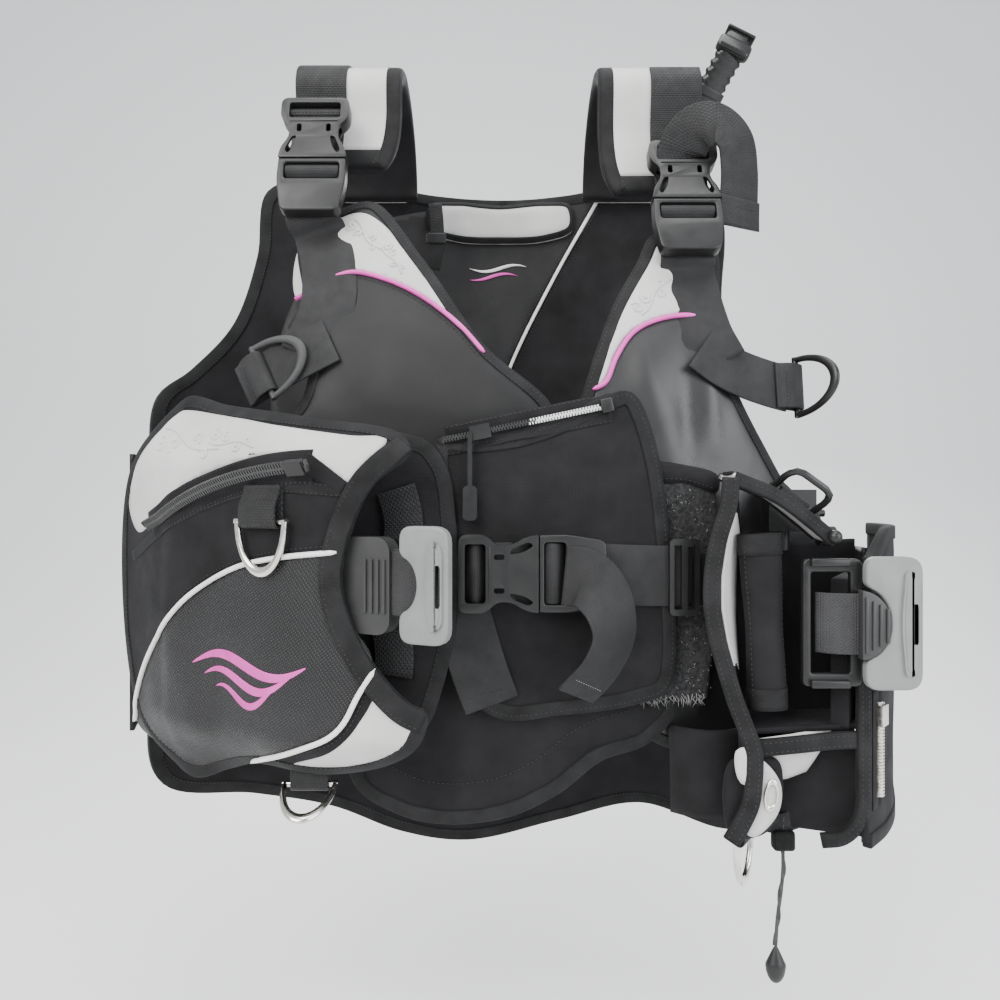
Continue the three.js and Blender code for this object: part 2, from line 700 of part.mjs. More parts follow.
const shoulderPlace = (side) => {
  const x = buckleX[side];
  const topZ = buckleTopZ[side];
  const endZ = topZ - buckleLength - maleTravel;
  const nearX = Math.abs(x) - buckleWidth / 2;
  const topY = frontSurface(nearX, topZ) - buckleStandoff;
  const endY = frontSurface(nearX, endZ) - buckleStandoff;
  return at(x, topY, topZ, -Math.atan2(topY - endY, topZ - endZ));
};
for (const [side, sign] of [["right", -1], ["left", 1]]) {
  const line = padLine(padFootZ[side]);
  const pad = acrossX(
    ribbon(line, -padThickness / 2, padThickness / 2),
    sign * padMiddle - padWidth / 2,
    sign * padMiddle + padWidth / 2,
  );
  const place = shoulderPlace(side);
  add(`${side}_shoulder_buckle_female`, placed(femaleHalf(), place), blackPlastic);
  add(`${side}_shoulder_buckle_male`, placed(maleHalf(buckleShieldLength), place), blackPlastic);

  // The strap leaves the pad and runs down behind the ladder bar.
  const webOut = (padThickness + webbingThickness) / 2 - sewnIn;
  const onPad = offsetLine(line.slice(sewnFrom, sewnTo), webOut);
  const behind = (down) => {
    const p = new THREE.Vector3(0, fitGap + webbingThickness / 2, -down).applyMatrix4(place);
    return [p.y, p.z];
  };
  const strap = acrossX(
    ribbon([behind(20), behind(6), ...onPad], -webbingThickness / 2, webbingThickness / 2),
    buckleX[side] - webbingWidth / 2,
    buckleX[side] + webbingWidth / 2,
  );
  add(`${side}_shoulder_pad`, join(pad, strap), silverFabric);
  // The chest webbing lies on the yoke, then rises behind the male half to its slot.
  const lower = sheetOn(frontSurface, -chestWebFace, webbingThickness - chestWebFace).intersect(
    plateAt(straightOutline(chestWebOutline[side]), -farAway, farAway),
  );
  const upper = boxAt(
    -webbingWidth / 2,
    webbingWidth / 2,
    fitGap,
    fitGap + webbingThickness + sewnIn,
    -buckleLength - maleTravel,
    -buckleHousingLength - 6,
  );
  const webbing = join(lower, placed(upper, place), tabAt({ ...chestRing, tab: 30 }, chestTab[side]));
  add(`${side}_chest_webbing`, webbing, webbingFabric);
}

// The loose end of the left shoulder strap, hanging over the front of its buckle.
const tailOutline = shapeOf([
  [-16, 10], [-8, 16], [30, 14], [40, 6], [47, -36], [47, -66], [27, -67], [21, -46], [8, -26], [-13, -2],
]);
add(
  "left_strap_tail",
  placed(
    plateAt(tailOutline, -buckleThickness - fitGap - webbingThickness, -buckleThickness - fitGap),
    shoulderPlace("left"),
  ),
  webbingFabric,
);

// ---- Waist buckle, its webbing tail and the sliding adjuster ----
const waistBuckleLeft = X(-26);
const waistZ = Z(-371);
const waistBuckleY = frontSurface(0, waistZ) - waistWebFace - fitGap;
const waistPlace = at(waistBuckleLeft, waistBuckleY, waistZ, 0, -Math.PI / 2);
add("waist_buckle_female", placed(femaleHalf(), waistPlace), blackPlastic);
add("waist_buckle_male", placed(maleHalf(waistShieldLength), waistPlace), blackPlastic);
// The loose end hangs from the front of the male half, looping down and back.
const waistTailFront = -maleThickness - fitGap;
const waistTail = shapeOf([
  [62, 20], [84, 17], [102, -21], [106, -49], [84, -85], [60, -59], [76, -43], [76, -25],
]);
add(
  "waist_strap_tail",
  plateAt(waistTail, waistTailFront - webbingThickness, waistTailFront).translate([
    waistBuckleLeft,
    waistBuckleY,
    waistZ,
  ]),
  webbingFabric,
);
const adjusterX = X(118);
const adjusterThickness = 3.2;
const adjusterWidth = 20;
const adjusterTravel = 40;
const adjusterNearX = adjusterX - adjusterTravel;
const adjusterTurn = Math.atan2(
  frontSurface(adjusterX, waistZ) - frontSurface(adjusterNearX, waistZ),
  adjusterTravel,
);
const adjusterBar = 2; // half the middle bar
const adjusterSlotEnd = 7;
const adjusterSlotHalf = webbingWidth / 2 + fitGap;
const adjuster = cut(
  plateAt(roundedOutline(adjusterWidth, webbingWidth + 9, 3), -adjusterThickness, 0),
  boxAt(-adjusterSlotEnd, -adjusterBar, -farAway, farAway, -adjusterSlotHalf, adjusterSlotHalf),
  boxAt(adjusterBar, adjusterSlotEnd, -farAway, farAway, -adjusterSlotHalf, adjusterSlotHalf),
);
const adjusterY = frontSurface(adjusterX, waistZ) - waistWebFace - fitGap;
add(
  "waist_adjuster",
  placed(adjuster, at(adjusterX, adjusterY, waistZ - 3.5, 0, 0, adjusterTurn)),
  blackPlastic,
);

// ---- Front zipper, its slider and pull ----
const zipLeft = [X(-37), Z(-287)];
const zipRight = [X(68), Z(-265)];
const coilWidth = 5;
const coilDepth = 2.4;
const zipTurn = Math.atan2(zipRight[1] - zipLeft[1], zipRight[0] - zipLeft[0]);
const zipLength = Math.hypot(zipRight[1] - zipLeft[1], zipRight[0] - zipLeft[0]);
const zipY = frontSurface(0, Z(-300)) - zipPanelFace - fitGap;
const zipPlace = at(zipLeft[0], zipY, zipLeft[1], 0, -zipTurn);
const coilBar = (length) => boxAt(0, length, -coilDepth, 0, -coilWidth / 2, coilWidth / 2);
const stopHalf = coilWidth / 2 + 2;
const endStop = (x) => boxAt(x - 3.5, x + 3.5, -coilDepth - 1, -0.01, -stopHalf, stopHalf);
const sliderWall = 1.6;
const sliderHalf = 6.5;
const sliderBase = -0.2; // just clear of the tape
const sliderSolid = (x) => {
  const roof = -coilDepth - runGap;
  const side = coilWidth / 2 + runGap;
  return cut(
    boxAt(x - sliderHalf, x + sliderHalf, roof - sliderWall, sliderBase, -side - sliderWall, side + sliderWall),
    boxAt(x - farAway, x + farAway, roof, farAway, -side, side),
  );
};
add("front_zipper", placed(join(coilBar(zipLength), endStop(zipLength)), zipPlace), blackPlastic);
const frontSliderAt = 25; // along the zip
const pullX = zipLeft[0] + 18;
const pullTopZ = zipLeft[1] - 5;
const pullFace = zipY - coilDepth - runGap - sliderWall + 0.4;
const pullCordHalf = 1.4;
const pullCordDrop = 26;
const pullTag = { width: 9, length: 22, thickness: 2.6 };
const pullTagOutline = roundedOutline(pullTag.width, pullTag.length, 3, pullX, pullTopZ - pullCordDrop - 9);
add(
  "front_zip_slider",
  join(
    placed(sliderSolid(frontSliderAt), zipPlace),
    boxAt(
      pullX - pullCordHalf,
      pullX + pullCordHalf,
      pullFace - 2,
      pullFace,
      pullTopZ - pullCordDrop,
      pullTopZ + 10,
    ),
    plateAt(pullTagOutline, pullFace - pullTag.thickness, pullFace),
  ),
  steel,
);

// ---- Right pocket ----
const pocketOuterEdge = [
  [-221, -253], [-190, -260], [-121, -273], [-60, -284], [-46, -289], [-34, -306], [-29, -340], [-27, -374],
  [-30, -410], [-38, -446], [-48, -470], [-70, -487], [-104, -496], [-154, -495], [-186, -508], [-216, -518],
  [-241, -500], [-256, -462], [-264, -394], [-260, -311], [-243, -276],
];
const pocketOpening = [
  [-54, -296], [-78, -318], [-92, -348], [-96, -373], [-90, -398], [-76, -424], [-56, -446], [-44, -452],
];
const pocketCoverEdge = [
  ...pocketOpening,
  [-50, -472], [-70, -487], [-104, -496], [-154, -495], [-186, -508], [-216, -518], [-241, -500], [-256, -462],
  [-264, -394], [-260, -311], [-243, -276], [-221, -253], [-190, -260], [-121, -273], [-62, -284],
];
const pocketRing = { width: 43, drop: 33, wire: 4, tab: 31, tail: 20 };
const pocketTab = onSurface(pocketFront, pocketWall + tabDepth(pocketRing.wire) - sewn, X(-142), Z(-338), 0);
const lowerRing = { width: 36, drop: 31, wire: 4, tab: 25, tail: 22 };
const rightLowerTab = at(
  X(-121),
  pocketBack(X(-121), Z(-490)) - pocketWall - tabDepth(lowerRing.wire) + sewn,
  Z(-506),
);
add(
  "right_pocket_back",
  join(
    cloth(pocketBack, -pocketWall, pocketWall, smoothOutline(pocketOuterEdge)),
    tabAt(lowerRing, rightLowerTab),
  ),
  blackFabric,
);
add(
  "right_pocket_cover",
  join(
    cloth(pocketFront, -pocketWall, pocketWall, smoothOutline(pocketCoverEdge, 36)),
    tabAt(pocketRing, pocketTab),
  ),
  blackFabric,
);
addRing("pocket_ring", pocketRing, pocketTab, steel);
addRing("right_lower_ring", lowerRing, turnedAboutBar(rightLowerTab, -66), steel);
// The pocket's zipper bends round an arc, so its slider turns about the arc's centre.
const arcPoint = (x, z) => new THREE.Vector3(X(x), pocketFront(X(x), Z(z)) - pocketWall - fitGap, Z(z));
const arcEnds = [arcPoint(-112, -305), arcPoint(-178, -315), arcPoint(-238, -343)];
const chordA = arcEnds[1].clone().sub(arcEnds[0]);
const chordB = arcEnds[2].clone().sub(arcEnds[0]);
const arcNormal = new THREE.Vector3().crossVectors(chordA, chordB).normalize();
const arcCentre = (() => {
  const axb = new THREE.Vector3().crossVectors(chordA, chordB);
  const toCentre = new THREE.Vector3()
    .crossVectors(axb, chordA)
    .multiplyScalar(chordB.lengthSq())
    .add(new THREE.Vector3().crossVectors(chordB, axb).multiplyScalar(chordA.lengthSq()));
  return arcEnds[0].clone().add(toCentre.divideScalar(2 * axb.lengthSq()));
})();
const arcRadius = arcCentre.distanceTo(arcEnds[0]);
const arcStart = arcEnds[0].clone().sub(arcCentre);
const arcSweep = arcStart.angleTo(arcEnds[2].clone().sub(arcCentre));
const arcAt = (t) => arcStart.clone().applyAxisAngle(arcNormal, arcSweep * t).add(arcCentre);
// How far the flat arc must come forward to clear the bulging cover.
const arcSamples = 24;
const arcFloat = 1.8; // the zip tape's thickness, and room for the cover's facets
const arcLift = Math.max(
  ...Array.from({ length: arcSamples + 1 }, (_, i) => {
    const p = arcAt(i / arcSamples);
    return p.y - (pocketFront(p.x, p.z) - pocketWall - coilDepth / 2 - arcFloat);
  }),
);
const lifted = (p) => p.clone().add(new THREE.Vector3(0, -arcLift, 0));
const coilSection = shapeOf([
  [-coilDepth / 2, -coilWidth / 2], [coilDepth / 2, -coilWidth / 2],
  [coilDepth / 2, coilWidth / 2], [-coilDepth / 2, coilWidth / 2],
]);
const sweepAlongArc = (section, t0, t1, steps) => {
  // The arc's own axes: out from the centre, and the axis itself.
  const out = arcStart.clone().normalize();
  const side = new THREE.Vector3().crossVectors(arcNormal, out);
  const basis = new THREE.Matrix4().makeBasis(out, side, arcNormal).setPosition(lifted(arcCentre));
  const start = arcSweep * t0;
  const end = arcSweep * t1;
  const path = new (class extends THREE.Curve {
    getPoint(t) {
      const a = start + (end - start) * t;
      return new THREE.Vector3(arcRadius * Math.cos(a), arcRadius * Math.sin(a), 0);
    }
  })();
  const swept = new THREE.ExtrudeGeometry(section, { steps, extrudePath: path });
  return solidOf(swept.applyMatrix4(basis));
};
add("right_pocket_zipper", sweepAlongArc(coilSection, 0, 1, 14), blackPlastic);

const sliderOnArc = (t) => {
  const section = sliderSolid(0);
  const a = arcSweep * t;
  const out = arcStart.clone().applyAxisAngle(arcNormal, a).normalize();
  const along = new THREE.Vector3().crossVectors(arcNormal, out);
  const inward = arcNormal.clone().multiplyScalar(Math.sign(arcNormal.y));
  const origin = lifted(arcAt(t)).addScaledVector(inward, coilDepth / 2);
  const up = new THREE.Vector3().crossVectors(along, inward);
  return placed(section, new THREE.Matrix4().makeBasis(along, inward, up).setPosition(origin));
};
const pocketSliderAt = 0.06;
add("right_pocket_zip_slider", sliderOnArc(pocketSliderAt), blackPlastic);

// ---- Right weight pouch, lying along the slant of the pocket's room ----
const pouchMouthX = -96;
const pouchInnerX = pouchMouthX - pouchLength;
const pouchZ = -374;
const pouchForward = 4.3; // the room bends, so the straight pouch lies nearer the cover
const midRoom = (x) => pocketBack(x, Z(pouchZ)) - pocketWall - pocketRoom / 2 - pouchForward;
const pouchRise = midRoom(X(pouchMouthX)) - midRoom(X(pouchInnerX));
const pouchTurn = Math.atan2(pouchRise, X(pouchMouthX) - X(pouchInnerX));
const pouchPlace = at(X(pouchMouthX), midRoom(X(pouchMouthX)), Z(pouchZ), 0, 0, pouchTurn);
const gripLength = 36;
const pouchSolid = (length, height) =>
  boxAt(-length, 0, -pouchThickness / 2, pouchThickness / 2, -height / 2, height / 2);
add("right_weight_pouch", placed(pouchSolid(pouchLength, pouchHeight), pouchPlace), blackFabric);
const gripHeight = 58;
const gripFace = -6;
const gripRidge = { first: 19, pitch: 4.4, width: 2, rise: 1.4, halfHeight: 16 };
const gripSolid = () => {
  const outline = roundedOutline(gripLength, gripHeight, 9, gripLength / 2 + fitGap, -2);
  const ridges = [0, 1, 2, 3].map((i) => {
    const x = gripRidge.first + i * gripRidge.pitch;
    return boxAt(
      x,
      x + gripRidge.width,
      gripFace - gripRidge.rise,
      gripFace + 1,
      -gripRidge.halfHeight - 2,
      gripRidge.halfHeight - 2,
    );
  });
  return join(plateAt(outline, gripFace, 5), ...ridges);
};
const pullWebLength = 26;
const pullWebStart = gripLength - 1;
const pullWeb = boxAt(pullWebStart, pullWebStart + pullWebLength, -2, 0, -webbingWidth / 2, webbingWidth / 2);
add("right_weight_grip", placed(join(gripSolid(), pullWeb), pouchPlace), rubber);
const pullHandleThickness = 7;
const weightHandle = (length, height) => {
  const outline = roundedOutline(length, height, 8);
  outline.holes.push(roundedOutline(5, webbingWidth + 1, 2, -length / 2 + 6.5, 0));
  return plateAt(outline, -pullHandleThickness, 0);
};
const handleX = pullWebStart + pullWebLength + 2;
add(
  "right_weight_handle",
  placed(weightHandle(32, 68).translate([handleX, -webbingThickness - fitGap, 0]), pouchPlace),
  greyPlastic,
);

// ---- Left pocket: it stands open towards the front, between an inner and an outer wall ----
// It is drawn in place on the drawn vest. Its stiff pieces keep their size and move with the front they are sewn to.
const drawnSeam = { x: 200, y: -85.2, z: -400 };
const seamShift = [
  X(drawnSeam.x) - drawnSeam.x,
  frontSurface(X(drawnSeam.x), Z(drawnSeam.z)) - drawnSeam.y,
  Z(drawnSeam.z) - drawnSeam.z,
];
const addSide = (name, solid, material) => add(name, solid.translate(seamShift), material);
const pocketMouthY = -154;
const wallHalf = pocketWall / 2;
// A point of the inner wall where it lies on the front lobe.
const onFront = (x, clearance) => [
  X(x) - seamShift[0],
  frontSurface(X(x), Z(drawnSeam.z)) - fitGap - wallHalf - clearance - seamShift[1],
];
const innerWallLine = [
  [138, pocketMouthY], [146, -138], [160, -117], onFront(176, 2),
  ...[192, 208, 224, 240, 254, 266].map((x) => onFront(x, 0.5)),
];
const outerWallEnd = [287, -26];
const outerWallLine = curveThrough([[224, pocketMouthY], [247, -130], [268, -98], [283, -60], outerWallEnd], 8);
const wallFoot = -560;
const wallTop = -300;
const wallBetween = (line, outline) =>
  alongZ(ribbon(line, -wallHalf, wallHalf), wallFoot, wallTop).intersect(
    plateAt(shapeOf(outline), -farAway, farAway),
  );
const innerWall = wallBetween(innerWallLine, [
  [130, -311.4], [146, -312.7], [152, -315.5], [168, -354], [farAway, -354], [farAway, -500], [250, -536],
  [130, -536],
]);
const floorTop = -468;
const floorOutline = [
  [146, -146], [224, -152], [300, -128], [300, -98], [262, -66], [226, -74], [190, -92], [168, -104],
];
const insideOuterWall = alongZ(ribbon(outerWallLine, -60, wallHalf + fitGap), wallFoot, wallTop);
const pocketFloor = cut(alongZ(floorOutline, floorTop - pocketWall, floorTop), insideOuterWall);
const flapFace = pocketMouthY + 2;
const cornerFlap = plateAt(
  shapeOf([[140, -486], [186, -482], [184, -522], [166, -538], [140, -534]]),
  flapFace,
  flapFace + 3,
);

// A stitched tab guides the dump valve's pull cord.
const cordX = 183;
const cordY = -129;
const cordWidth = 2.4;
const guideHalf = 7;
const guide = { top: -538, foot: -552, halfDepth: 5 };
const strap = { start: 152, top: -524, foot: -534, halfThickness: 1.5 };
const cordHole = solidOf(
  new THREE.CylinderGeometry(cordWidth / 2 + 0.8, cordWidth / 2 + 0.8, 60, 12)
    .rotateX(Math.PI / 2)
    .translate(cordX, cordY, guide.top),
);
const strapNear = cordY - strap.halfThickness;
const strapFar = cordY + strap.halfThickness;
const pullTab = cut(
  join(
    boxAt(strap.start, cordX + guideHalf, strapNear, strapFar, strap.foot, strap.top),
    boxAt(cordX - guideHalf, cordX + guideHalf, strapNear, strapFar, guide.foot, strap.top),
    boxAt(
      cordX - guideHalf,
      cordX + guideHalf,
      cordY - guide.halfDepth,
      cordY + guide.halfDepth,
      guide.foot,
      guide.top,
    ),
  ),
  cordHole,
);
const leftLowerTab = facing(157.2, -130.3, -541, 0, 0, 56.3);
addSide(
  "left_pocket_inner_wall",
  join(innerWall, pocketFloor, cornerFlap, pullTab, tabAt(lowerRing, leftLowerTab)),
  coatedFabric,
);
addSide("left_lower_ring", placed(bowRing(lowerRing), leftLowerTab), steel);
addSide(
  "left_pocket_outer_wall",
  wallBetween(outerWallLine, [[200, -366], [296, -346], [296, -520], [270, -536], [200, -536]]),
  blackFabric,
);

// The roof slopes down from the inner wall, with the accessory ring standing on it.
const roofLine = curveThrough([[146, -312], [170, -322], [192, -338], [206, -350]], 8);
const roofThickness = 3;
const roofBack = -122;
const roof = plateAt(shapeOf(ribbon(roofLine, 0, roofThickness)), pocketMouthY, roofBack);
const slideRing = { width: 34, drop: 24, wire: 4.6, tab: 23, tail: 14, square: true };
const roofPlace = facing(183, -139, -327.7, 0, 36, 0);
const slideRingPlace = roofPlace
  .multiply(new THREE.Matrix4().makeTranslation(0, 0, tabDepth(slideRing.wire) - sewn))
  .multiply(new THREE.Matrix4().makeRotationX(-90 * degrees));
addSide("left_pocket_roof", join(roof, tabAt(slideRing, slideRingPlace)), silverFabric);
addSide(
  "accessory_ring",
  placed(bowRing(slideRing), turnedAboutBar(slideRingPlace, -40)),
  blackPlastic,
);

// The pocket's flap, rolled up beside its mouth.
const roll = { x: 162.4, y: -141, halfWidth: 13.5, halfDepth: 10.5, top: -345, foot: -457 };
const rollOutline = polygon(1, 16).map(([c, s]) => [roll.x + roll.halfWidth * c, roll.y + roll.halfDepth * s]);
addSide("left_pocket_roll", alongZ(rollOutline, roll.foot, roll.top), blackFabric);

// ---- Left weight pouch and its pull, sliding out between the walls ----
const leftPouchLength = 92;
const leftPouchTop = -374;
const leftPouchHeight = leftPouchTop - floorTop - fitGap;
const leftPouchTurn = -122.1;
const leftPouchPlace = facing(211, -149.4, leftPouchTop - leftPouchHeight / 2, 0, 0, leftPouchTurn);
addSide(
  "left_weight_pouch",
  placed(pouchSolid(leftPouchLength, leftPouchHeight), leftPouchPlace),
  blackFabric,
);
const latchFace = pocketMouthY - 3.4; // its middle plane, ahead of the walls' edges
const latchX = 206;
const latchOutline = roundedOutline(36, 78, 3);
latchOutline.holes.push(roundedOutline(12, 58, 1, -8, 0));
const latch = plateAt(latchOutline, -0.4, 4.6).translate([-3, 0, 0]);
const latchRib = (i) => boxAt(-8 + i * 5, -6 + i * 5, -10.5, -8, -22, 22);
const latchGrip = join(boxAt(-10, 10, -9, 0, -29, 29), latchRib(0), latchRib(1), latchRib(2));
const latchWeb = boxAt(8, 36, -4, -4 + webbingThickness, -webbingWidth / 2, webbingWidth / 2);
addSide(
  "left_weight_latch",
  placed(join(latch, latchGrip, latchWeb), at(latchX, latchFace, -400)),
  blackPlastic,
);
addSide(
  "left_weight_handle",
  placed(weightHandle(34, 80), at(latchX + 30, latchFace - 4 - fitGap, -399)),
  greyPlastic,
);

// Zipper down the outer wall, with its slider.
const sideZipPlace = facing(238.5, -142.5, -512, 0, -90, 46);
const sideZipLength = 62;
const sideSliderAt = 52;
addSide("left_pocket_zipper", placed(coilBar(sideZipLength), sideZipPlace), silverFabric);
addSide("left_pocket_zip_slider", placed(sliderSolid(sideSliderAt), sideZipPlace), steel);

// ---- Inflator on the left side, under the pocket's roof ----
// A cylinder along X.
const discX = (x0, x1, y, z, radius) =>
  solidOf(
    new THREE.CylinderGeometry(radius, radius, x1 - x0, 16)
      .rotateZ(Math.PI / 2)
      .translate((x0 + x1) / 2, y, z),
  );
const inflatorSeat = -94.387;
const inflator = { left: 180, right: 212, depth: 17, top: -318, foot: -346 };
const nippleRadius = 4.5;
const nippleLength = 14;
const nippleDepth = 9; // its middle, ahead of the seat
const housing = boxAt(
  inflator.left,
  inflator.right,
  inflatorSeat - inflator.depth,
  inflatorSeat,
  inflator.foot,
  inflator.top,
);
const nipple = solidOf(
  new THREE.CylinderGeometry(nippleRadius, nippleRadius, nippleLength, 12)
    .rotateX(Math.PI / 2)
    .translate(192, inflatorSeat - nippleDepth, inflator.foot - 6),
);
const leverX = inflator.right;
const leverY = inflatorSeat - 7;
const leverZ = -334;
const pivotPin = discX(leverX - 0.1, leverX + 8.9, leverY, leverZ, pinRadius);
addSide("inflator_housing", join(housing, pivotPin, nipple), blackPlastic);
const leverHub = 6;
const buttonRadius = 6.5;
const buttonForward = 11;
const buttonUnder = 15;
const leverNear = leverX + runGap;
const leverPlate = 3.5;
const leverReach = Math.hypot(buttonForward, buttonUnder);
const leverBar = boxAt(leverNear, leverNear + leverPlate, -leverPlate, leverPlate, -leverReach, 0);
addSide(
  "inflator_lever",
  cut(
    join(
      discX(leverNear, leverNear + leverPlate, leverY, leverZ, leverHub),
      placed(leverBar, at(0, leverY, leverZ, -Math.atan2(buttonForward, buttonUnder))),
      discX(leverNear, leverX + 11, leverY - buttonForward, leverZ - buttonUnder, buttonRadius),
    ),
    discX(leverX - 1, leverX + 20, leverY, leverZ, pinRadius + runGap),
  ),
  blackPlastic,
);

// ---- Oral inflation tube, rising behind the left shoulder ----
const tubeFoot = new THREE.Vector3(X(158), backSurface(X(158)) + 24, Z(-62));
const tubePath = new THREE.CatmullRomCurve3(
  [[0, 0, 0], [3, -1, 22], [10, -21, 52], [22, -43, 88], [45, -65, 132]].map((p) =>
    new THREE.Vector3(...p).add(tubeFoot),
  ),
  false,
  "centripetal",
);
const tubeSection = new THREE.Shape().absellipse(0, 0, 5, 13, 0, Math.PI * 2);
const tube = solidOf(
  new THREE.ExtrudeGeometry(tubeSection, { steps: 9, curveSegments: 8, extrudePath: tubePath }),
);
const mouthPlace = facing(tubeFoot.x + 42, tubeFoot.y - 63, tubeFoot.z + 128, -20, 27, 0);
add("oral_inflation_tube", join(tube, placed(boxAt(-16, 16, -4, 4, -16, 2), mouthPlace)), rubber);

// ---- Dump valve's pull cord and its knob ----
const cordPoints = [
  [cordX, cordY, -530], [cordX, cordY, -548], [cordX, cordY, -564], [182, -128.5, -578], [180, -127.5, -596],
  [179, -127, -614],
];
const cordSteps = 14;
const cordPath = new THREE.CatmullRomCurve3(
  cordPoints.map((p) => new THREE.Vector3(...p)),
  false,
  "centripetal",
);
const cord = new THREE.ExtrudeGeometry(circle(cordWidth / 2), { steps: cordSteps, extrudePath: cordPath });
addSide("pull_cord", solidOf(cord), webbingFabric);
const knobProfile = [[0, 0], [2.4, -0.5], [4, -6], [6.5, -15], [6, -21], [3, -24], [0, -24.5]];
const knobSides = 14;
const cordEnd = cordPoints[cordPoints.length - 1];
const knob = new THREE.LatheGeometry(
  knobProfile.map(([radius, z]) => new THREE.Vector2(radius, z)).reverse(),
  knobSides,
)
  .rotateX(Math.PI / 2)
  .translate(cordEnd[0], cordEnd[1], cordEnd[2] - fitGap / 2);
addSide("pull_knob", solidOf(knob), rubber);

// ---- Side panels, from the back panel's edge round to the pockets ----
const sidePanelHalf = 2;
const sidePanel = (name, sign, foreX, foreY, topZ, footZ) => {
  const rear = [sign * X(277), backSurface(X(277)) - 2 * fitGap - sidePanelHalf];
  const middle = [sign * X(286), (rear[1] + foreY) / 2];
  const line = curveThrough([rear, middle, [sign * foreX, foreY]], 8);
  add(name, alongZ(ribbon(line, -sidePanelHalf, sidePanelHalf), Z(footZ), Z(topZ)), coatedFabric);
};
sidePanel("right_side_panel", -1, X(268), frontSurface(X(262), Z(-400)) + 3, -290, -500);
sidePanel("left_side_panel", 1, outerWallEnd[0] + seamShift[0] - 11, outerWallEnd[1] - 3, -362, -500);

export default vest;
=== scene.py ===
"""A buoyancy compensator vest: its fabric, webbing and fittings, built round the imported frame.

Outlines and lines are in millimetres, as [x, z] on the vest's front or back, and pieces are made in metres.
"""

import math
import random

import bmesh
import bpy
import numpy as np
from mathutils import Matrix, Vector, noise
from mathutils.geometry import delaunay_2d_cdt


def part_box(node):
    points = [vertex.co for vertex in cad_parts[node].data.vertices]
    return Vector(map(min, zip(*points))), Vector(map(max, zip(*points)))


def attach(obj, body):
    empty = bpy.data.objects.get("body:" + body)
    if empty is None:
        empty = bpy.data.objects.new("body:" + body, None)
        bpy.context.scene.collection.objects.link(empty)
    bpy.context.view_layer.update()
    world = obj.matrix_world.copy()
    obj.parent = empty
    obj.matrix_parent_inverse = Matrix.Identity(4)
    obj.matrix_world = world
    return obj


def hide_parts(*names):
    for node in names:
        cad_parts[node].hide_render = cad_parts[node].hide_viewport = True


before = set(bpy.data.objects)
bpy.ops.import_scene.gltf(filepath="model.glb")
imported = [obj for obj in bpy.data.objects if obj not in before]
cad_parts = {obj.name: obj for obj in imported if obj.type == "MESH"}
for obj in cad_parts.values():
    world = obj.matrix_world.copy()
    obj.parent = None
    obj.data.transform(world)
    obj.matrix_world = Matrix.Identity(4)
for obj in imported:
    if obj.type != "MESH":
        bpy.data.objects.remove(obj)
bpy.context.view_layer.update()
random.seed(11)
MM = 0.001

# ---- Camera, and a helper for lights ----
EYE = (0.0, -0.640, -0.325)
LENS = 28.44  # on a 36 mm sensor


def add_camera():
    bpy.ops.object.camera_add(location=EYE, rotation=(math.pi / 2, 0, 0))
    camera = bpy.context.object
    camera.data.lens = LENS
    camera.data.sensor_width = 36
    camera.data.clip_start = 0.01
    bpy.context.scene.camera = camera


def add_light(name, place, target, size, watts, colour=(1, 1, 1)):
    bpy.ops.object.light_add(type="AREA", location=place)
    light = bpy.context.object
    light.name = name
    light.data.size = size
    light.data.energy = watts
    light.data.color = colour
    aim = Vector(target) - Vector(place)
    light.rotation_euler = aim.to_track_quat("-Z", "Y").to_euler()


add_camera()

# ---- The vest's own surfaces: y from x and z ----
HALF_WIDTH = 290
HOOD = 301.6  # beyond this the sides stop curling
FIT = 0.6


def ease(t):
    t = np.clip(t, 0, 1)
    return t * t * (3 - 2 * t)


def curl(x):
    return (np.minimum(np.abs(x), HOOD) / HALF_WIDTH) ** 3


def front(x, z):
    return 62 * ease((z + 270) / 230) - 118 + 100 * curl(x)


def back(x, z):
    return 88 - 80 * curl(x) + 0 * z


def pocket_back(x, z):
    return front(x, z) - FIT - 17.3 * ease((x + 190) / 70)


def pocket_front(x, z):
    room = ease((x + 268) / 50) * ease((-256 - z) / 48) * ease((z + 512) / 46)
    return pocket_back(x, z) - 4.6 - 29.4 * room


def raised(surface, offset):
    """The same surface, moved along y."""
    return lambda x, z: surface(x, z) + offset


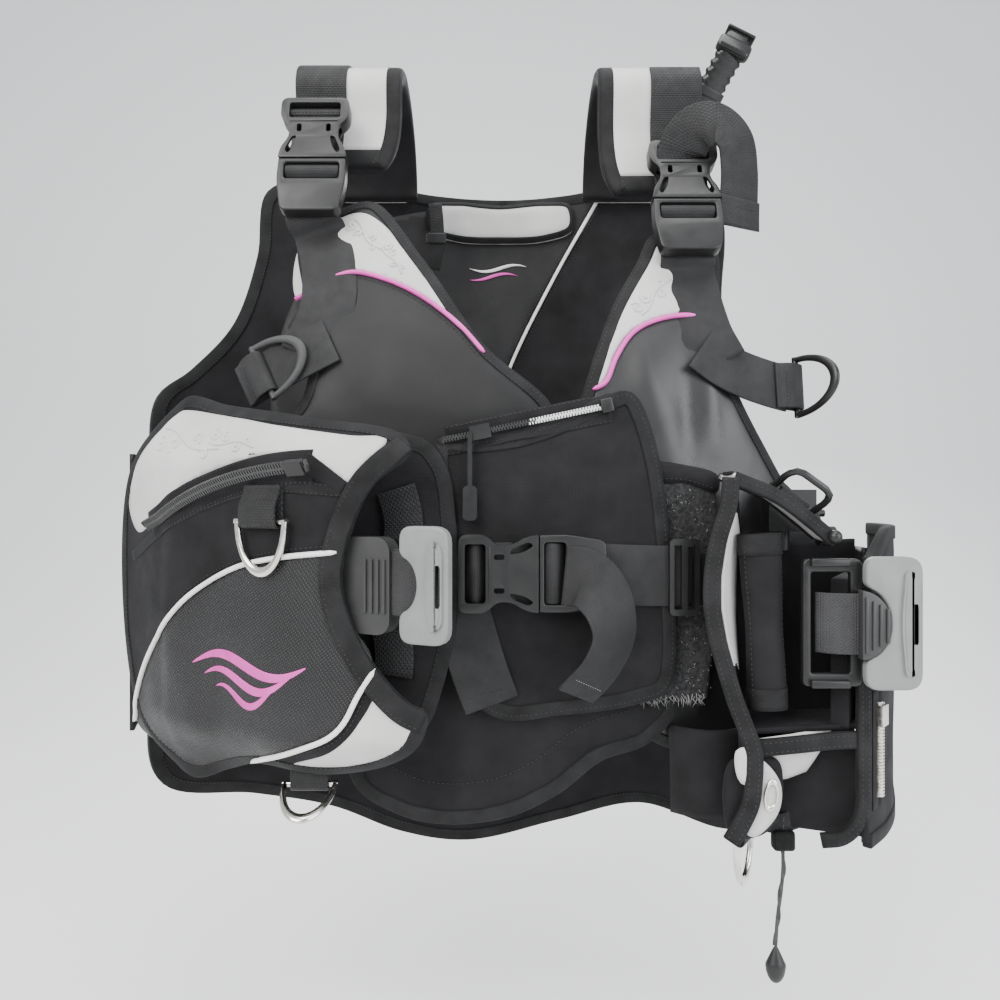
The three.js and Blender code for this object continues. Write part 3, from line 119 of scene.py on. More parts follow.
# ---- Lines ----
def smooth_line(points, step=5.0, closed=False):
    """A centripetal curve through [a, b] or [a, b, c] points, with a point about every step."""
    p = np.array(points, float)
    n = len(p)
    ends = (p[-1], p[0], p[1]) if closed else (2 * p[0] - p[1], 2 * p[-1] - p[-2])
    if closed:
        q = np.vstack([ends[0], p, ends[1], ends[2]])
        spans = n
    else:
        q = np.vstack([ends[0], p, ends[1]])
        spans = n - 1
    out = []
    for i in range(spans):
        a, b, c, d = q[i : i + 4]
        t0 = 0.0
        t1 = t0 + max(np.linalg.norm(b - a), 1e-6) ** 0.5
        t2 = t1 + max(np.linalg.norm(c - b), 1e-6) ** 0.5
        t3 = t2 + max(np.linalg.norm(d - c), 1e-6) ** 0.5
        steps = max(1, int(math.ceil(np.linalg.norm(c - b) / step)))
        for k in range(steps):
            t = t1 + (t2 - t1) * k / steps
            ab = (t1 - t) / (t1 - t0) * a + (t - t0) / (t1 - t0) * b
            bc = (t2 - t) / (t2 - t1) * b + (t - t1) / (t2 - t1) * c
            cd = (t3 - t) / (t3 - t2) * c + (t - t2) / (t3 - t2) * d
            abc = (t2 - t) / (t2 - t0) * ab + (t - t0) / (t2 - t0) * bc
            bcd = (t3 - t) / (t3 - t1) * bc + (t - t1) / (t3 - t1) * cd
            out.append((t2 - t) / (t2 - t1) * abc + (t - t1) / (t2 - t1) * bcd)
    if not closed:
        out.append(p[-1])
    return np.array(out)


def straight_line(points, step=5.0, closed=False):
    """The points themselves, with more between them about every step."""
    p = np.array(points, float)
    if closed:
        p = np.vstack([p, p[:1]])
    out = []
    for a, b in zip(p[:-1], p[1:]):
        steps = max(1, int(math.ceil(np.linalg.norm(b - a) / step)))
        out += [a + (b - a) * k / steps for k in range(steps)]
    if not closed:
        out.append(p[-1])
    return np.array(out)


def inset(line, distance, closed=False):
    """The line moved to its left by distance, which is inwards for an anticlockwise outline."""
    if closed:
        d = np.roll(line, -1, 0) - np.roll(line, 1, 0)
    else:
        d = np.gradient(line, axis=0)
    d /= np.maximum(np.linalg.norm(d, axis=1), 1e-9)[:, None]
    return line + np.stack([-d[:, 1], d[:, 0]], 1) * distance


def anticlockwise(line):
    x, z = line[:, 0], line[:, 1]
    area = np.sum(x * np.roll(z, -1) - np.roll(x, -1) * z)
    return line if area > 0 else line[::-1]


def distance_to(points, line, closed=True):
    """Each point's distance to a line."""
    a = line if closed else line[:-1]
    b = np.roll(line, -1, 0) if closed else line[1:]
    best = np.full(len(points), 1e9)
    for p, q in zip(a, b):
        d = q - p
        t = np.clip(((points - p) @ d) / max(d @ d, 1e-9), 0, 1)
        best = np.minimum(best, np.linalg.norm(points - p - t[:, None] * d, axis=1))
    return best


def inside(points, outline):
    x, z = points[:, 0], points[:, 1]
    result = np.zeros(len(points), bool)
    a = outline
    b = np.roll(outline, -1, 0)
    for (x0, z0), (x1, z1) in zip(a, b):
        crosses = (z0 > z) != (z1 > z)
        with np.errstate(divide="ignore", invalid="ignore"):
            at = (x1 - x0) * (z - z0) / (z1 - z0) + x0
        result ^= crosses & (x < at)
    return result


def ripple(x, z, size, turn=0.0, stretch=1.0, seed=0):
    """Smooth noise from -1 to 1. Its features are size across, and longer along turn by stretch."""
    c, s = math.cos(turn), math.sin(turn)
    u = (x * c + z * s) / (size * stretch)
    v = (-x * s + z * c) / size
    return np.array([noise.noise(Vector((a, b, seed * 7.3))) for a, b in zip(u, v)])


def distances_along(points):
    """How far along a line each of its points lies."""
    return np.concatenate([[0], np.cumsum(np.linalg.norm(np.diff(points, axis=0), axis=1))])


def unit(vectors):
    return vectors / np.linalg.norm(vectors, axis=1)[:, None]


def tangents(line):
    return unit(np.gradient(line, axis=0))


def laid_on(surface, line):
    """Points in space over an [x, z] line."""
    return np.stack([line[:, 0], surface(line[:, 0], line[:, 1]), line[:, 1]], 1)


def depth_at(surface, x, z):
    """A surface's y at one place."""
    return float(surface(np.array([float(x)]), np.array([float(z)]))[0])


def box_mm(node):
    """A CAD node's lowest and highest corners, in millimetres."""
    return [Vector(corner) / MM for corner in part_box(node)]


class Finish:
    """A material being put together: its nodes, links and shader."""

    def __init__(self, name, slot, colour, roughness, metallic=0.0):
        self.material = bpy.data.materials.new(name)
        self.material.use_nodes = True
        self.tree = self.material.node_tree
        self.shader = self.tree.nodes["Principled BSDF"]
        self.shader.inputs["Base Color"].default_value = (*colour, 1)
        self.shader.inputs["Roughness"].default_value = roughness
        self.shader.inputs["Metallic"].default_value = metallic
        self.height = None

    def node(self, kind, **inputs):
        made = self.tree.nodes.new(kind)
        for key, value in inputs.items():
            made.inputs[key.replace("_", " ")].default_value = value
        return made

    def link(self, out, into):
        self.tree.links.new(out, into)

    def place(self, uv=False, turn=0.0):
        """Object coordinates, or the piece's own UV map, turned."""
        source = self.node("ShaderNodeTexCoord")
        mapping = self.node("ShaderNodeMapping")
        mapping.inputs["Rotation"].default_value = (0, turn, 0) if not uv else (0, 0, turn)
        self.link(source.outputs["UV" if uv else "Object"], mapping.inputs["Vector"])
        return mapping.outputs["Vector"]

    def noise(self, scale, detail=4.0, rough=0.55):
        made = self.node("ShaderNodeTexNoise", Scale=scale, Detail=detail, Roughness=rough)
        self.link(self.place(), made.inputs["Vector"])
        return made.outputs["Fac"]

    def wave(self, scale, vector, direction="X"):
        made = self.node("ShaderNodeTexWave", Scale=scale)
        made.bands_direction = direction
        self.link(vector, made.inputs["Vector"])
        return made.outputs["Fac"]

    def voronoi(self, scale):
        made = self.node("ShaderNodeTexVoronoi", Scale=scale)
        self.link(self.place(), made.inputs["Vector"])
        return made.outputs["Distance"]

    def math(self, operation, a, b):
        made = self.tree.nodes.new("ShaderNodeMath")
        made.operation = operation
        for socket, value in zip(made.inputs, (a, b)):
            if isinstance(value, (int, float)):
                socket.default_value = value
            else:
                self.link(value, socket)
        return made.outputs[0]

    def ramp(self, fac, low, high, low_colour, high_colour):
        made = self.node("ShaderNodeValToRGB")
        made.color_ramp.elements[0].position = low
        made.color_ramp.elements[1].position = high
        made.color_ramp.elements[0].color = (*low_colour, 1)
        made.color_ramp.elements[1].color = (*high_colour, 1)
        self.link(fac, made.inputs["Fac"])
        return made.outputs["Color"]

    def colour_by(self, fac, low_colour, high_colour, low=0.3, high=0.7):
        self.link(self.ramp(fac, low, high, low_colour, high_colour), self.shader.inputs["Base Color"])

    def roughness_by(self, fac, low_value, high_value):
        made = self.node("ShaderNodeMapRange")
        ends = {"From Min": 0.3, "From Max": 0.7, "To Min": low_value, "To Max": high_value}
        for key, value in ends.items():
            made.inputs[key].default_value = value
        self.link(fac, made.inputs["Value"])
        self.link(made.outputs["Result"], self.shader.inputs["Roughness"])

    def bump(self, fac, depth_mm, strength=1.0):
        """Raises the surface where fac is 1 by depth_mm. Bumps laid one after another add up."""
        made = self.node("ShaderNodeBump", Strength=strength, Distance=depth_mm * MM)
        self.link(fac, made.inputs["Height"])
        if self.height:
            self.link(self.height, made.inputs["Normal"])
        self.height = made.outputs["Normal"]
        self.link(self.height, self.shader.inputs["Normal"])

    def sheen(self, weight, colour=(1, 1, 1), roughness=0.4):
        self.shader.inputs["Sheen Weight"].default_value = weight
        self.shader.inputs["Sheen Roughness"].default_value = roughness
        self.shader.inputs["Sheen Tint"].default_value = (*colour, 1)

    def specular(self, level):
        self.shader.inputs["Specular IOR Level"].default_value = level


def grey(value):
    return (value, value, value * 1.03)


def plain_weave(finish, threads_mm, depth_mm):
    """Warp and weft crossing over each other."""
    place = finish.place()
    scale = 1 / (threads_mm * MM) / (2 * math.pi) * 2
    across = finish.wave(scale, place, "X")
    down = finish.wave(scale, place, "Z")
    finish.bump(finish.math("MAXIMUM", across, down), depth_mm)


def woven_black():
    f = Finish("black_nylon_cloth", "black_fabric", grey(0.009), 0.78)
    plain_weave(f, 0.9, 0.12)
    f.colour_by(f.noise(26, 6), grey(0.006), (0.0135, 0.013, 0.0145))
    f.roughness_by(f.noise(60), 0.68, 0.88)
    f.bump(f.noise(90, 5), 0.5, 0.6)
    f.sheen(0.03, (0.75, 0.75, 0.8), 0.5)
    f.specular(0.16)
    return f.material


def coated_black(name="coated_black_nylon", tone=0.009, low=0.40, high=0.6, shine=0.24):
    f = Finish(name, "coated_fabric", grey(tone), 0.5)
    plain_weave(f, 0.7, 0.05)
    f.colour_by(f.noise(18, 6), grey(tone * 0.8), grey(tone * 1.35))
    f.roughness_by(f.noise(14, 6), low, high)
    f.bump(f.noise(45, 6), 0.7, 0.5)
    f.specular(shine)
    return f.material


def liner_leather():
    f = Finish("grained_liner", "black_fabric", grey(0.016), 0.6)
    f.bump(f.voronoi(900), 0.14, 0.8)
    f.specular(0.24)
    f.colour_by(f.noise(20, 6), grey(0.011), grey(0.022))
    f.bump(f.noise(40, 5), 0.6, 0.5)
    f.roughness_by(f.noise(70), 0.5, 0.72)
    return f.material


def silver_cloth():
    tone = 0.50
    f = Finish("silver_cloth", "silver_fabric", (tone, tone * 0.985, tone * 0.95), 0.55)
    plain_weave(f, 0.6, 0.04)
    f.colour_by(
        f.noise(16, 6),
        (tone * 0.86, tone * 0.845, tone * 0.81),
        (tone * 1.08, tone * 1.07, tone * 1.04),
        0.3,
        0.68,
    )
    f.roughness_by(f.noise(35), 0.42, 0.66)
    f.bump(f.noise(50, 5), 0.5, 0.5)
    f.sheen(0.15)
    return f.material


def tape_cloth():
    f = Finish("binding_tape", "black_fabric", grey(0.028), 0.7)
    ribs = f.wave(1 / 0.0013 / 2, f.place(uv=True), "X")
    f.bump(ribs, 0.12)
    f.colour_by(f.noise(60, 6), grey(0.007), grey(0.017))
    f.bump(f.noise(160, 4), 0.25, 0.6)
    f.sheen(0.03, (0.8, 0.8, 0.85))
    f.specular(0.16)
    return f.material


def webbing_cloth(name="black_webbing", tone=0.013, rib_mm=2.2, cross_mm=1.5, depth=0.3):
    """Heavy webbing: a zigzag of fat ribs along the strap, crossed by the weft."""
    f = Finish(name, "webbing", grey(tone), 0.62)
    along = f.place(uv=True)
    zigzag = f.wave(1 / (rib_mm * MM) / math.pi, f.place(uv=True, turn=0.9), "X")
    other = f.wave(1 / (rib_mm * MM) / math.pi, f.place(uv=True, turn=-0.9), "X")
    weft = f.wave(1 / (cross_mm * MM) / math.pi, along, "X")
    f.bump(f.math("MULTIPLY", zigzag, other), depth)
    f.bump(weft, depth * 0.5)
    f.colour_by(f.noise(40, 6), grey(tone * 0.75), grey(tone * 1.3))
    f.roughness_by(f.noise(120), 0.5, 0.72)
    f.sheen(0.02)
    f.specular(0.24)
    return f.material


def moulded(name, slot, tone, low=0.3, high=0.48, tint=(1, 1, 1), pebble=0.05, scale=1400):
    f = Finish(name, slot, tuple(tone * t for t in tint), 0.4)
    f.bump(f.noise(scale, 2), pebble, 0.8)
    f.specular(0.4)
    f.roughness_by(f.noise(90, 6), low, high)
    f.colour_by(
        f.noise(45, 5),
        tuple(tone * 0.88 * t for t in tint),
        tuple(tone * 1.1 * t for t in tint),
    )
    return f.material


def steel_wire():
    f = Finish("polished_steel", "steel", (0.72, 0.69, 0.63), 0.16, 1.0)
    f.roughness_by(f.noise(240, 6), 0.1, 0.3)
    f.bump(f.noise(900, 3), 0.02, 0.6)
    f.colour_by(f.noise(60, 5), (0.62, 0.59, 0.54), (0.82, 0.8, 0.75))
    return f.material


def pink_print():
    f = Finish("pink_print", "silver_fabric", (0.6, 0.05, 0.36), 0.5)
    f.colour_by(f.noise(30, 4), (0.52, 0.035, 0.30), (0.70, 0.075, 0.44))
    f.bump(f.noise(700, 3), 0.05, 0.5)
    return f.material


def white_cord():
    f = Finish("white_piping", "silver_fabric", (0.80, 0.79, 0.76), 0.5)
    f.bump(f.wave(1 / 0.0012 / 2, f.place(uv=True), "X"), 0.06)
    f.colour_by(f.noise(50, 5), (0.70, 0.69, 0.66), (0.86, 0.85, 0.83))
    return f.material


def ballistic_cloth():
    """Coarse coated cloth with a raised slanting weave."""
    f = Finish("ballistic_cloth", "coated_fabric", grey(0.02), 0.5)
    place = f.place(turn=0.62)
    across = f.wave(1 / 0.0021 / math.pi, place, "X")
    down = f.wave(1 / 0.0016 / math.pi, place, "Z")
    cells = f.math("MULTIPLY", across, down)
    f.bump(cells, 0.45)
    # Colour follows the weave: its raised cells are painted lighter and the grooves between them darker, as
    # painted shade and highlight, mixed half and half with the cloth's own uneven tone.
    relief_shade_and_tone = f.math("ADD", f.math("MULTIPLY", cells, 0.5), f.math("MULTIPLY", f.noise(14, 5), 0.5))
    f.colour_by(relief_shade_and_tone, grey(0.008), grey(0.03), 0.2, 0.7)
    f.specular(0.3)
    f.roughness_by(f.noise(30), 0.4, 0.56)
    f.bump(f.noise(30, 4), 0.7, 0.4)
    return f.material


def hook_cloth():
    """Worn hook-and-loop cloth, matted and speckled with lint."""
    f = Finish("loop_cloth", "black_fabric", grey(0.045), 0.92)
    matted = f.noise(420, 8, 0.75)
    f.bump(matted, 0.9)
    f.colour_by(matted, grey(0.008), grey(0.06), 0.38, 0.72)
    f.specular(0.1)
    f.bump(f.noise(70, 5), 0.9, 0.6)
    f.sheen(0.1, (0.9, 0.9, 0.9), 0.6)
    return f.material


CLOTH = woven_black()
COATED = coated_black()
COATED_GLOSS = coated_black("glossy_black_nylon", 0.011, 0.24, 0.4, 0.5)
LEATHER = liner_leather()
SILVER = silver_cloth()
TAPE = tape_cloth()
WEBBING = webbing_cloth()
WAIST_WEBBING = webbing_cloth("waist_webbing", 0.016, 1.1, 0.9, 0.16)
PULL_WEBBING = webbing_cloth("pull_webbing", 0.03, 1.6, 1.6, 0.25)
BLACK_PLASTIC = moulded("satin_black_plastic", "black_plastic", 0.010, 0.3, 0.46)
GREY_PLASTIC = moulded("light_grey_plastic", "grey_plastic", 0.19, 0.42, 0.58, (0.97, 1.0, 0.98))
PEBBLED = moulded("pebbled_grey_plastic", "grey_plastic", 0.035, 0.5, 0.65, (1, 1, 1), 0.3, 900)
RUBBER = moulded("black_rubber", "black_rubber", 0.012, 0.32, 0.5)
GLOSS_RUBBER = moulded("glossy_black_rubber", "black_rubber", 0.008, 0.2, 0.34)
GRIP_RUBBER = moulded("grip_rubber", "black_rubber", 0.03, 0.36, 0.5)
TEETH = moulded("black_zip_teeth", "black_plastic", 0.03, 0.24, 0.36)
WHITE_TEETH = moulded("white_zip_teeth", "silver_fabric", 0.62, 0.25, 0.4)
STEEL = steel_wire()
PINK = pink_print()
WHITE = white_cord()
BALLISTIC = ballistic_cloth()
LOOP_CLOTH = hook_cloth()
THREAD = moulded("black_thread", "black_fabric", 0.03, 0.45, 0.6)
PALE_THREAD = moulded("grey_thread", "silver_fabric", 0.35, 0.45, 0.6)


# ---- Making pieces ----
def finish_piece(obj, finish, body="vest", smooth=True):
    """Gives a piece its material, and makes it ride on its body."""
    obj.data.materials.clear()
    obj.data.materials.append(finish)
    if smooth:
        obj.data.polygons.foreach_set("use_smooth", [True] * len(obj.data.polygons))
    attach(obj, body)
    return obj


def mesh_piece(name, points, faces, finish, body="vest", uvs=None, smooth=True):
    """A piece from points in millimetres. uvs holds one pair for each point."""
    mesh = bpy.data.meshes.new(name)
    mesh.from_pydata((np.asarray(points, float) * MM).tolist(), [], faces)
    if uvs is not None:
        layer = mesh.uv_layers.new(name="UVMap")
        corners = np.empty(len(mesh.loops), int)
        mesh.loops.foreach_get("vertex_index", corners)
        layer.data.foreach_set("uv", np.asarray(uvs, float)[corners].ravel())
    mesh.validate()
    mesh.update()
    obj = bpy.data.objects.new(name, mesh)
    bpy.context.scene.collection.objects.link(obj)
    return finish_piece(obj, finish, body, smooth)


def normals_of(surface, line, side=-1):
    """The surface's outward normals along a line. side is -1 on the front and 1 on the back."""
    x, z = line[:, 0], line[:, 1]
    h = 1.0
    slope_x = (surface(x + h, z) - surface(x - h, z)) / (2 * h)
    slope_z = (surface(x, z + h) - surface(x, z - h)) / (2 * h)
    n = np.stack([-slope_x * side, np.full(len(x), float(side)), -slope_z * side], 1)
    return n / np.linalg.norm(n, axis=1)[:, None]


def on_surface(surface, line, lift=0.0, side=-1):
    """Points in space along a line, lifted off the surface, and the normals there."""
    normals = normals_of(surface, line, side)
    points = laid_on(surface, line)
    return points + normals * lift, normals


def sweep(name, points, outs, section, finish, body="vest", closed=False, widths=None):
    """Runs a closed section of [across, out] points along a line in space."""
    p = np.asarray(points, float)
    tangent = np.roll(p, -1, 0) - np.roll(p, 1, 0) if closed else np.gradient(p, axis=0)
    tangent /= np.maximum(np.linalg.norm(tangent, axis=1), 1e-9)[:, None]
    across = np.cross(tangent, outs)
    across /= np.maximum(np.linalg.norm(across, axis=1), 1e-9)[:, None]
    out = np.cross(across, tangent)
    section = np.asarray(section, float)
    count, m = len(p), len(section)
    scale = np.ones(count) if widths is None else np.asarray(widths, float)
    rings = (
        p[:, None, :]
        + across[:, None, :] * section[None, :, :1] * scale[:, None, None]
        + out[:, None, :] * section[None, :, 1:]
    )
    run = distances_along(p)
    girth = distances_along(section)
    uvs = np.stack([np.repeat(run, m), np.tile(girth, count)], 1) * MM
    faces = []
    for i in range(count if closed else count - 1):
        j = (i + 1) % count
        faces += [(i * m + k, i * m + (k + 1) % m, j * m + (k + 1) % m, j * m + k) for k in range(m)]
    if not closed:
        faces.append(tuple(range(m))[::-1])
        faces.append(tuple((count - 1) * m + k for k in range(m)))
    return outward(mesh_piece(name, rings.reshape(-1, 3), faces, finish, body, uvs))


def outward(obj):
    """Turns every face of a closed piece outwards."""
    shape = bmesh.new()
    shape.from_mesh(obj.data)
    bmesh.ops.recalc_face_normals(shape, faces=shape.faces)
    shape.to_mesh(obj.data)
    shape.free()
    return obj


def round_section(radius, sides=10):
    return [
        [radius * math.cos(2 * math.pi * k / sides), radius * math.sin(2 * math.pi * k / sides)]
        for k in range(sides)
    ]


def flat_section(width, top, bottom, soft=1.2):
    """A strip's section with soft corners, from bottom to top along the normal."""
    w = width / 2
    s = min(soft, w * 0.8)
    t = min(soft * 0.6, (top - bottom) * 0.45)
    return [
        [-w, bottom + t], [-w + s * 0.3, bottom], [w - s * 0.3, bottom], [w, bottom + t], [w, top - t],
        [w - s * 0.35, top - t * 0.3], [w - s, top], [0, top + 0.05], [-w + s, top],
        [-w + s * 0.35, top - t * 0.3], [-w, top - t],
    ]


def tape(name, surface, line, width, top=0.9, bottom=-0.3, finish=TAPE, closed=False, side=-1, widths=None):
    points, outs = on_surface(surface, line, 0, side)
    sweep(name, points, outs, flat_section(width, top, bottom), finish, closed=closed, widths=widths)


def piping(name, surface, line, radius, lift, finish):
    points, outs = on_surface(surface, line, lift)
    widths = np.ones(len(points))
    widths[0] = widths[-1] = 0.5
    sweep(name, points, outs, round_section(radius), finish, widths=widths)


def stitches(name, surface, line, lift=1.0, closed=False, side=-1):
    """A row of thread stitches lying on a surface."""
    points, outs = on_surface(surface, line, lift, side)
    stitch_row(name, points, outs, closed=closed)


def stitch_row(name, points, outs, pitch=3.2, length=2.3, finish=THREAD, body="vest", closed=False):
    p = np.vstack([points, points[:1]]) if closed else np.asarray(points)
    o = np.vstack([outs, outs[:1]]) if closed else np.asarray(outs)
    run = distances_along(p)
    at = np.arange(pitch / 2, run[-1] - length / 2, pitch)
    if len(at) == 0:
        return None
    middle = np.stack([np.interp(at, run, p[:, k]) for k in range(3)], 1)
    ahead = np.stack([np.interp(at + 0.5, run, p[:, k]) for k in range(3)], 1)
    out = np.stack([np.interp(at, run, o[:, k]) for k in range(3)], 1)
    along = ahead - middle
    along /= np.maximum(np.linalg.norm(along, axis=1), 1e-9)[:, None]
    across = np.cross(along, out)
    half, thick = length / 2, 0.32
    corners = [-along * half - out * 0.25, along * half - out * 0.25]
    corners += [across * thick, out * thick, -across * thick, -out * thick]
    verts = np.stack([middle + c for c in corners], 1).reshape(-1, 3)
    shape = [(0, 3, 2), (0, 4, 3), (0, 5, 4), (0, 2, 5), (1, 2, 3), (1, 3, 4), (1, 4, 5), (1, 5, 2)]
    faces = [tuple(i * 6 + v for v in f) for i in range(len(at)) for f in shape]
    return outward(mesh_piece(name, verts, faces, finish, body))


class Skin:
    """The outer face of a padded sheet on a surface. It falls away towards its outline, with folds and grooves.

    face and behind are the offsets of its two faces from the surface. A fold is (x0, z0, x1, z1, width,
    height), and a groove is (line, width, depth).
    """

    def __init__(self, outline, surface, face, behind, rim=12, edge=0.35, folds=(), grooves=(), crease=0.0,
                 grain=60, turn=0.0, stretch=1.0, seed=0, side=-1):
        self.outline = anticlockwise(np.asarray(outline, float))
        self.surface = surface
        self.face = face
        self.behind = behind
        self.rim = rim
        self.edge = edge
        self.folds = folds
        self.grooves = grooves
        self.crease = crease
        self.grain = grain
        self.turn = turn
        self.stretch = stretch
        self.seed = seed
        self.side = side

    def __call__(self, x, z):
        x = np.atleast_1d(np.asarray(x, float))
        z = np.broadcast_to(np.atleast_1d(np.asarray(z, float)), x.shape)
        points = np.stack([x, z], 1)
        away = distance_to(points, self.outline)
        away[~inside(points, self.outline)] = 0
        near = np.clip(away / self.rim, 0, 1)
        full = self.edge + (1 - self.edge) * np.sqrt(1 - (1 - near) ** 2)
        lift = np.zeros(len(x))
        if self.crease:
            lift += self.crease * near * ripple(x, z, self.grain, self.turn, self.stretch, self.seed)
            fine = ripple(x, z, self.grain / 3, self.turn, self.stretch, self.seed + 3)
            lift += 0.3 * self.crease * near * fine
        for x0, z0, x1, z1, width, height in self.folds:
            a = np.array([x0, z0], float)
            d = np.array([x1 - x0, z1 - z0], float)
            t = np.clip(((points - a) @ d) / (d @ d), 0, 1)
            off = np.linalg.norm(points - a - t[:, None] * d, axis=1)
            lift += height * np.exp(-((off / width) ** 2)) * (0.35 + 0.65 * np.sin(math.pi * t)) * near
        for line, width, depth in self.grooves:
            lift -= depth * np.exp(-((distance_to(points, line, False) / width) ** 2))
        thickness = (self.face - self.behind) * full
        return self.surface(x, z) + self.behind + thickness + self.side * lift


def panel(name, skin, finish, pitch=5.0):
    """A closed sheet between a skin and its flat back."""
    outline = skin.outline
    low, high = outline.min(0), outline.max(0)
    columns = np.arange(low[0] + pitch / 2, high[0], pitch)
    rows = np.arange(low[1] + pitch / 2, high[1], pitch * 0.87)
    grid = []
    for k, z in enumerate(rows):
        grid += [(x + (k % 2) * pitch / 2, z) for x in columns]
    grid = np.array(grid)
    grid = grid[inside(grid, outline)]
    grid = grid[distance_to(grid, outline) > pitch * 0.55]
    count = len(outline)
    flat = [Vector((float(a), float(b))) for a, b in np.vstack([outline, grid])]
    edges = [(i, (i + 1) % count) for i in range(count)]
    flat, _, faces, *_ = delaunay_2d_cdt(flat, edges, [], 1, 1e-4)
    flat = np.array([[v.x, v.y] for v in flat])
    n = len(flat)
    x, z = flat[:, 0], flat[:, 1]
    outer = skin(x, z)
    inner = skin.surface(x, z) + skin.behind
    points = np.vstack([np.stack([x, outer, z], 1), np.stack([x, inner, z], 1)])
    rim = {}
    for f in faces:
        for a, b in zip(f, list(f[1:]) + [f[0]]):
            rim[(a, b)] = rim.get((a, b), 0) + 1
    border = [(a, b) for a, b in rim if (b, a) not in rim]
    every = [tuple(f) for f in faces] + [tuple(v + n for v in reversed(f)) for f in faces]
    every += [(b, a, a + n, b + n) for a, b in border]
    uvs = np.vstack([flat, flat]) * MM
    return outward(mesh_piece(name, points, every, finish, uvs=uvs))


def binding(name, skin, width=9.0, over=0.8, rows=1):
    """Tape folded over a sheet's edge and sewn down, with its stitches."""
    thick = abs(skin.face - skin.behind) * skin.edge
    path = inset(skin.outline, width / 2 - 1.2, True)
    tape(name, skin, path, width, over, -thick - 1.2, closed=True, side=skin.side)
    for row in range(rows):
        sewn = inset(skin.outline, width - 2.6 - row * (width - 5.0), True)
        stitches(f"{name}_stitches_{row + 1}", skin, sewn, over + 0.15, True, skin.side)


def ribbon_between(name, points, outs, width, thickness, finish, body="vest"):
    """Webbing along a line in space, lying flat to outs."""
    section = flat_section(width, thickness / 2, -thickness / 2, 0.8)
    return sweep(name, points, outs, section, finish, body)


def hard(node, finish, bevel=0.5, segments=2):
    """A CAD piece shown as it is, with its edges rounded over."""
    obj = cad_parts[node]
    obj.data.materials.clear()
    obj.data.materials.append(finish)
    obj.data.polygons.foreach_set("use_smooth", [True] * len(obj.data.polygons))
    weld = obj.modifiers.new("weld", "WELD")
    weld.merge_threshold = 0.00002
    if bevel:
        round_over = obj.modifiers.new("round", "BEVEL")
        round_over.width = bevel * MM
        round_over.segments = segments
        round_over.limit_method = "ANGLE"
        round_over.angle_limit = math.radians(32)
        even = obj.modifiers.new("even", "WEIGHTED_NORMAL")
        even.mode = "FACE_AREA_WITH_ANGLE"
        even.keep_sharp = True


def select_only(obj):
    bpy.ops.object.select_all(action="DESELECT")
    obj.select_set(True)
    bpy.context.view_layer.objects.active = obj


def settle(obj, name, finish, body="vest", angle=35):
    """Applies a modelled piece's place, turns its faces out and finishes it."""
    select_only(obj)
    for modifier in list(obj.modifiers):
        bpy.ops.object.modifier_apply(modifier=modifier.name)
    bpy.ops.object.transform_apply(location=True, rotation=True, scale=True)
    obj.name = name
    obj.data.name = name
    bpy.ops.object.mode_set(mode="EDIT")
    bpy.ops.mesh.select_all(action="SELECT")
    bpy.ops.mesh.normals_make_consistent(inside=False)
    bpy.ops.object.mode_set(mode="OBJECT")
    finish_piece(obj, finish, body, smooth=False)
    select_only(obj)
    bpy.ops.object.shade_smooth_by_angle(angle=math.radians(angle))
    return obj


def block(size, place, bevel=0.8, segments=3, matrix=None):
    """A box of size at place, in millimetres, with rounded edges. matrix puts it in the vest's frame."""
    bpy.ops.object.select_all(action="DESELECT")
    bpy.ops.mesh.primitive_cube_add(size=1)
    obj = bpy.context.object
    obj.data.transform(Matrix.Diagonal((*[s * MM for s in size], 1)))
    obj.data.transform(Matrix.Translation([c * MM for c in place]))
    if bevel:
        bpy.ops.object.mode_set(mode="EDIT")
        bpy.ops.mesh.select_all(action="SELECT")
        bpy.ops.mesh.bevel(offset=bevel * MM, segments=segments, affect="EDGES")
        bpy.ops.object.mode_set(mode="OBJECT")
    if matrix is not None:
        obj.data.transform(matrix)
    return obj


def slab(outline, thick, matrix, bevel=0.8, segments=3):
    """A plate cut to an outline of [x, z] points, its faces at y 0 and -thick, with rounded rims."""
    points = np.asarray(outline, float)
    bpy.ops.object.select_all(action="DESELECT")
    bpy.ops.mesh.primitive_circle_add(vertices=len(points), radius=0.01, fill_type="NGON")
    plate = bpy.context.object
    for v, (x, z) in zip(plate.data.vertices, points):
        v.co = (x * MM, 0, z * MM)
    bpy.ops.object.mode_set(mode="EDIT")
    bpy.ops.mesh.select_all(action="SELECT")
    bpy.ops.mesh.extrude_region_move(TRANSFORM_OT_translate={"value": (0, -thick * MM, 0)})
    bpy.ops.mesh.select_all(action="SELECT")
    bpy.ops.mesh.normals_make_consistent(inside=False)
    bpy.ops.object.mode_set(mode="OBJECT")
    if bevel:
        rim = plate.modifiers.new("rim", "BEVEL")
        rim.width = bevel * MM
        rim.segments = segments
        rim.limit_method = "ANGLE"
        rim.angle_limit = math.radians(50)
    select_only(plate)
    for modifier in list(plate.modifiers):
        bpy.ops.object.modifier_apply(modifier=modifier.name)
    plate.data.transform(matrix)
    return plate


def rounded(corners):
    """An outline from [x, z, radius] corners, given anticlockwise."""
    points = []
    count = len(corners)
    for k, (x, z, r) in enumerate(corners):
        before = Vector(corners[k - 1][:2]) - Vector((x, z))
        after = Vector(corners[(k + 1) % count][:2]) - Vector((x, z))
        if r <= 0:
            points.append((x, z))
            continue
        a = Vector((x, z)) + before.normalized() * r
        b = Vector((x, z)) + after.normalized() * r
        for t in np.linspace(0, 1, 6):
            points.append(tuple(a * (1 - t) ** 2 + Vector((x, z)) * 2 * t * (1 - t) + b * t * t))
    return points


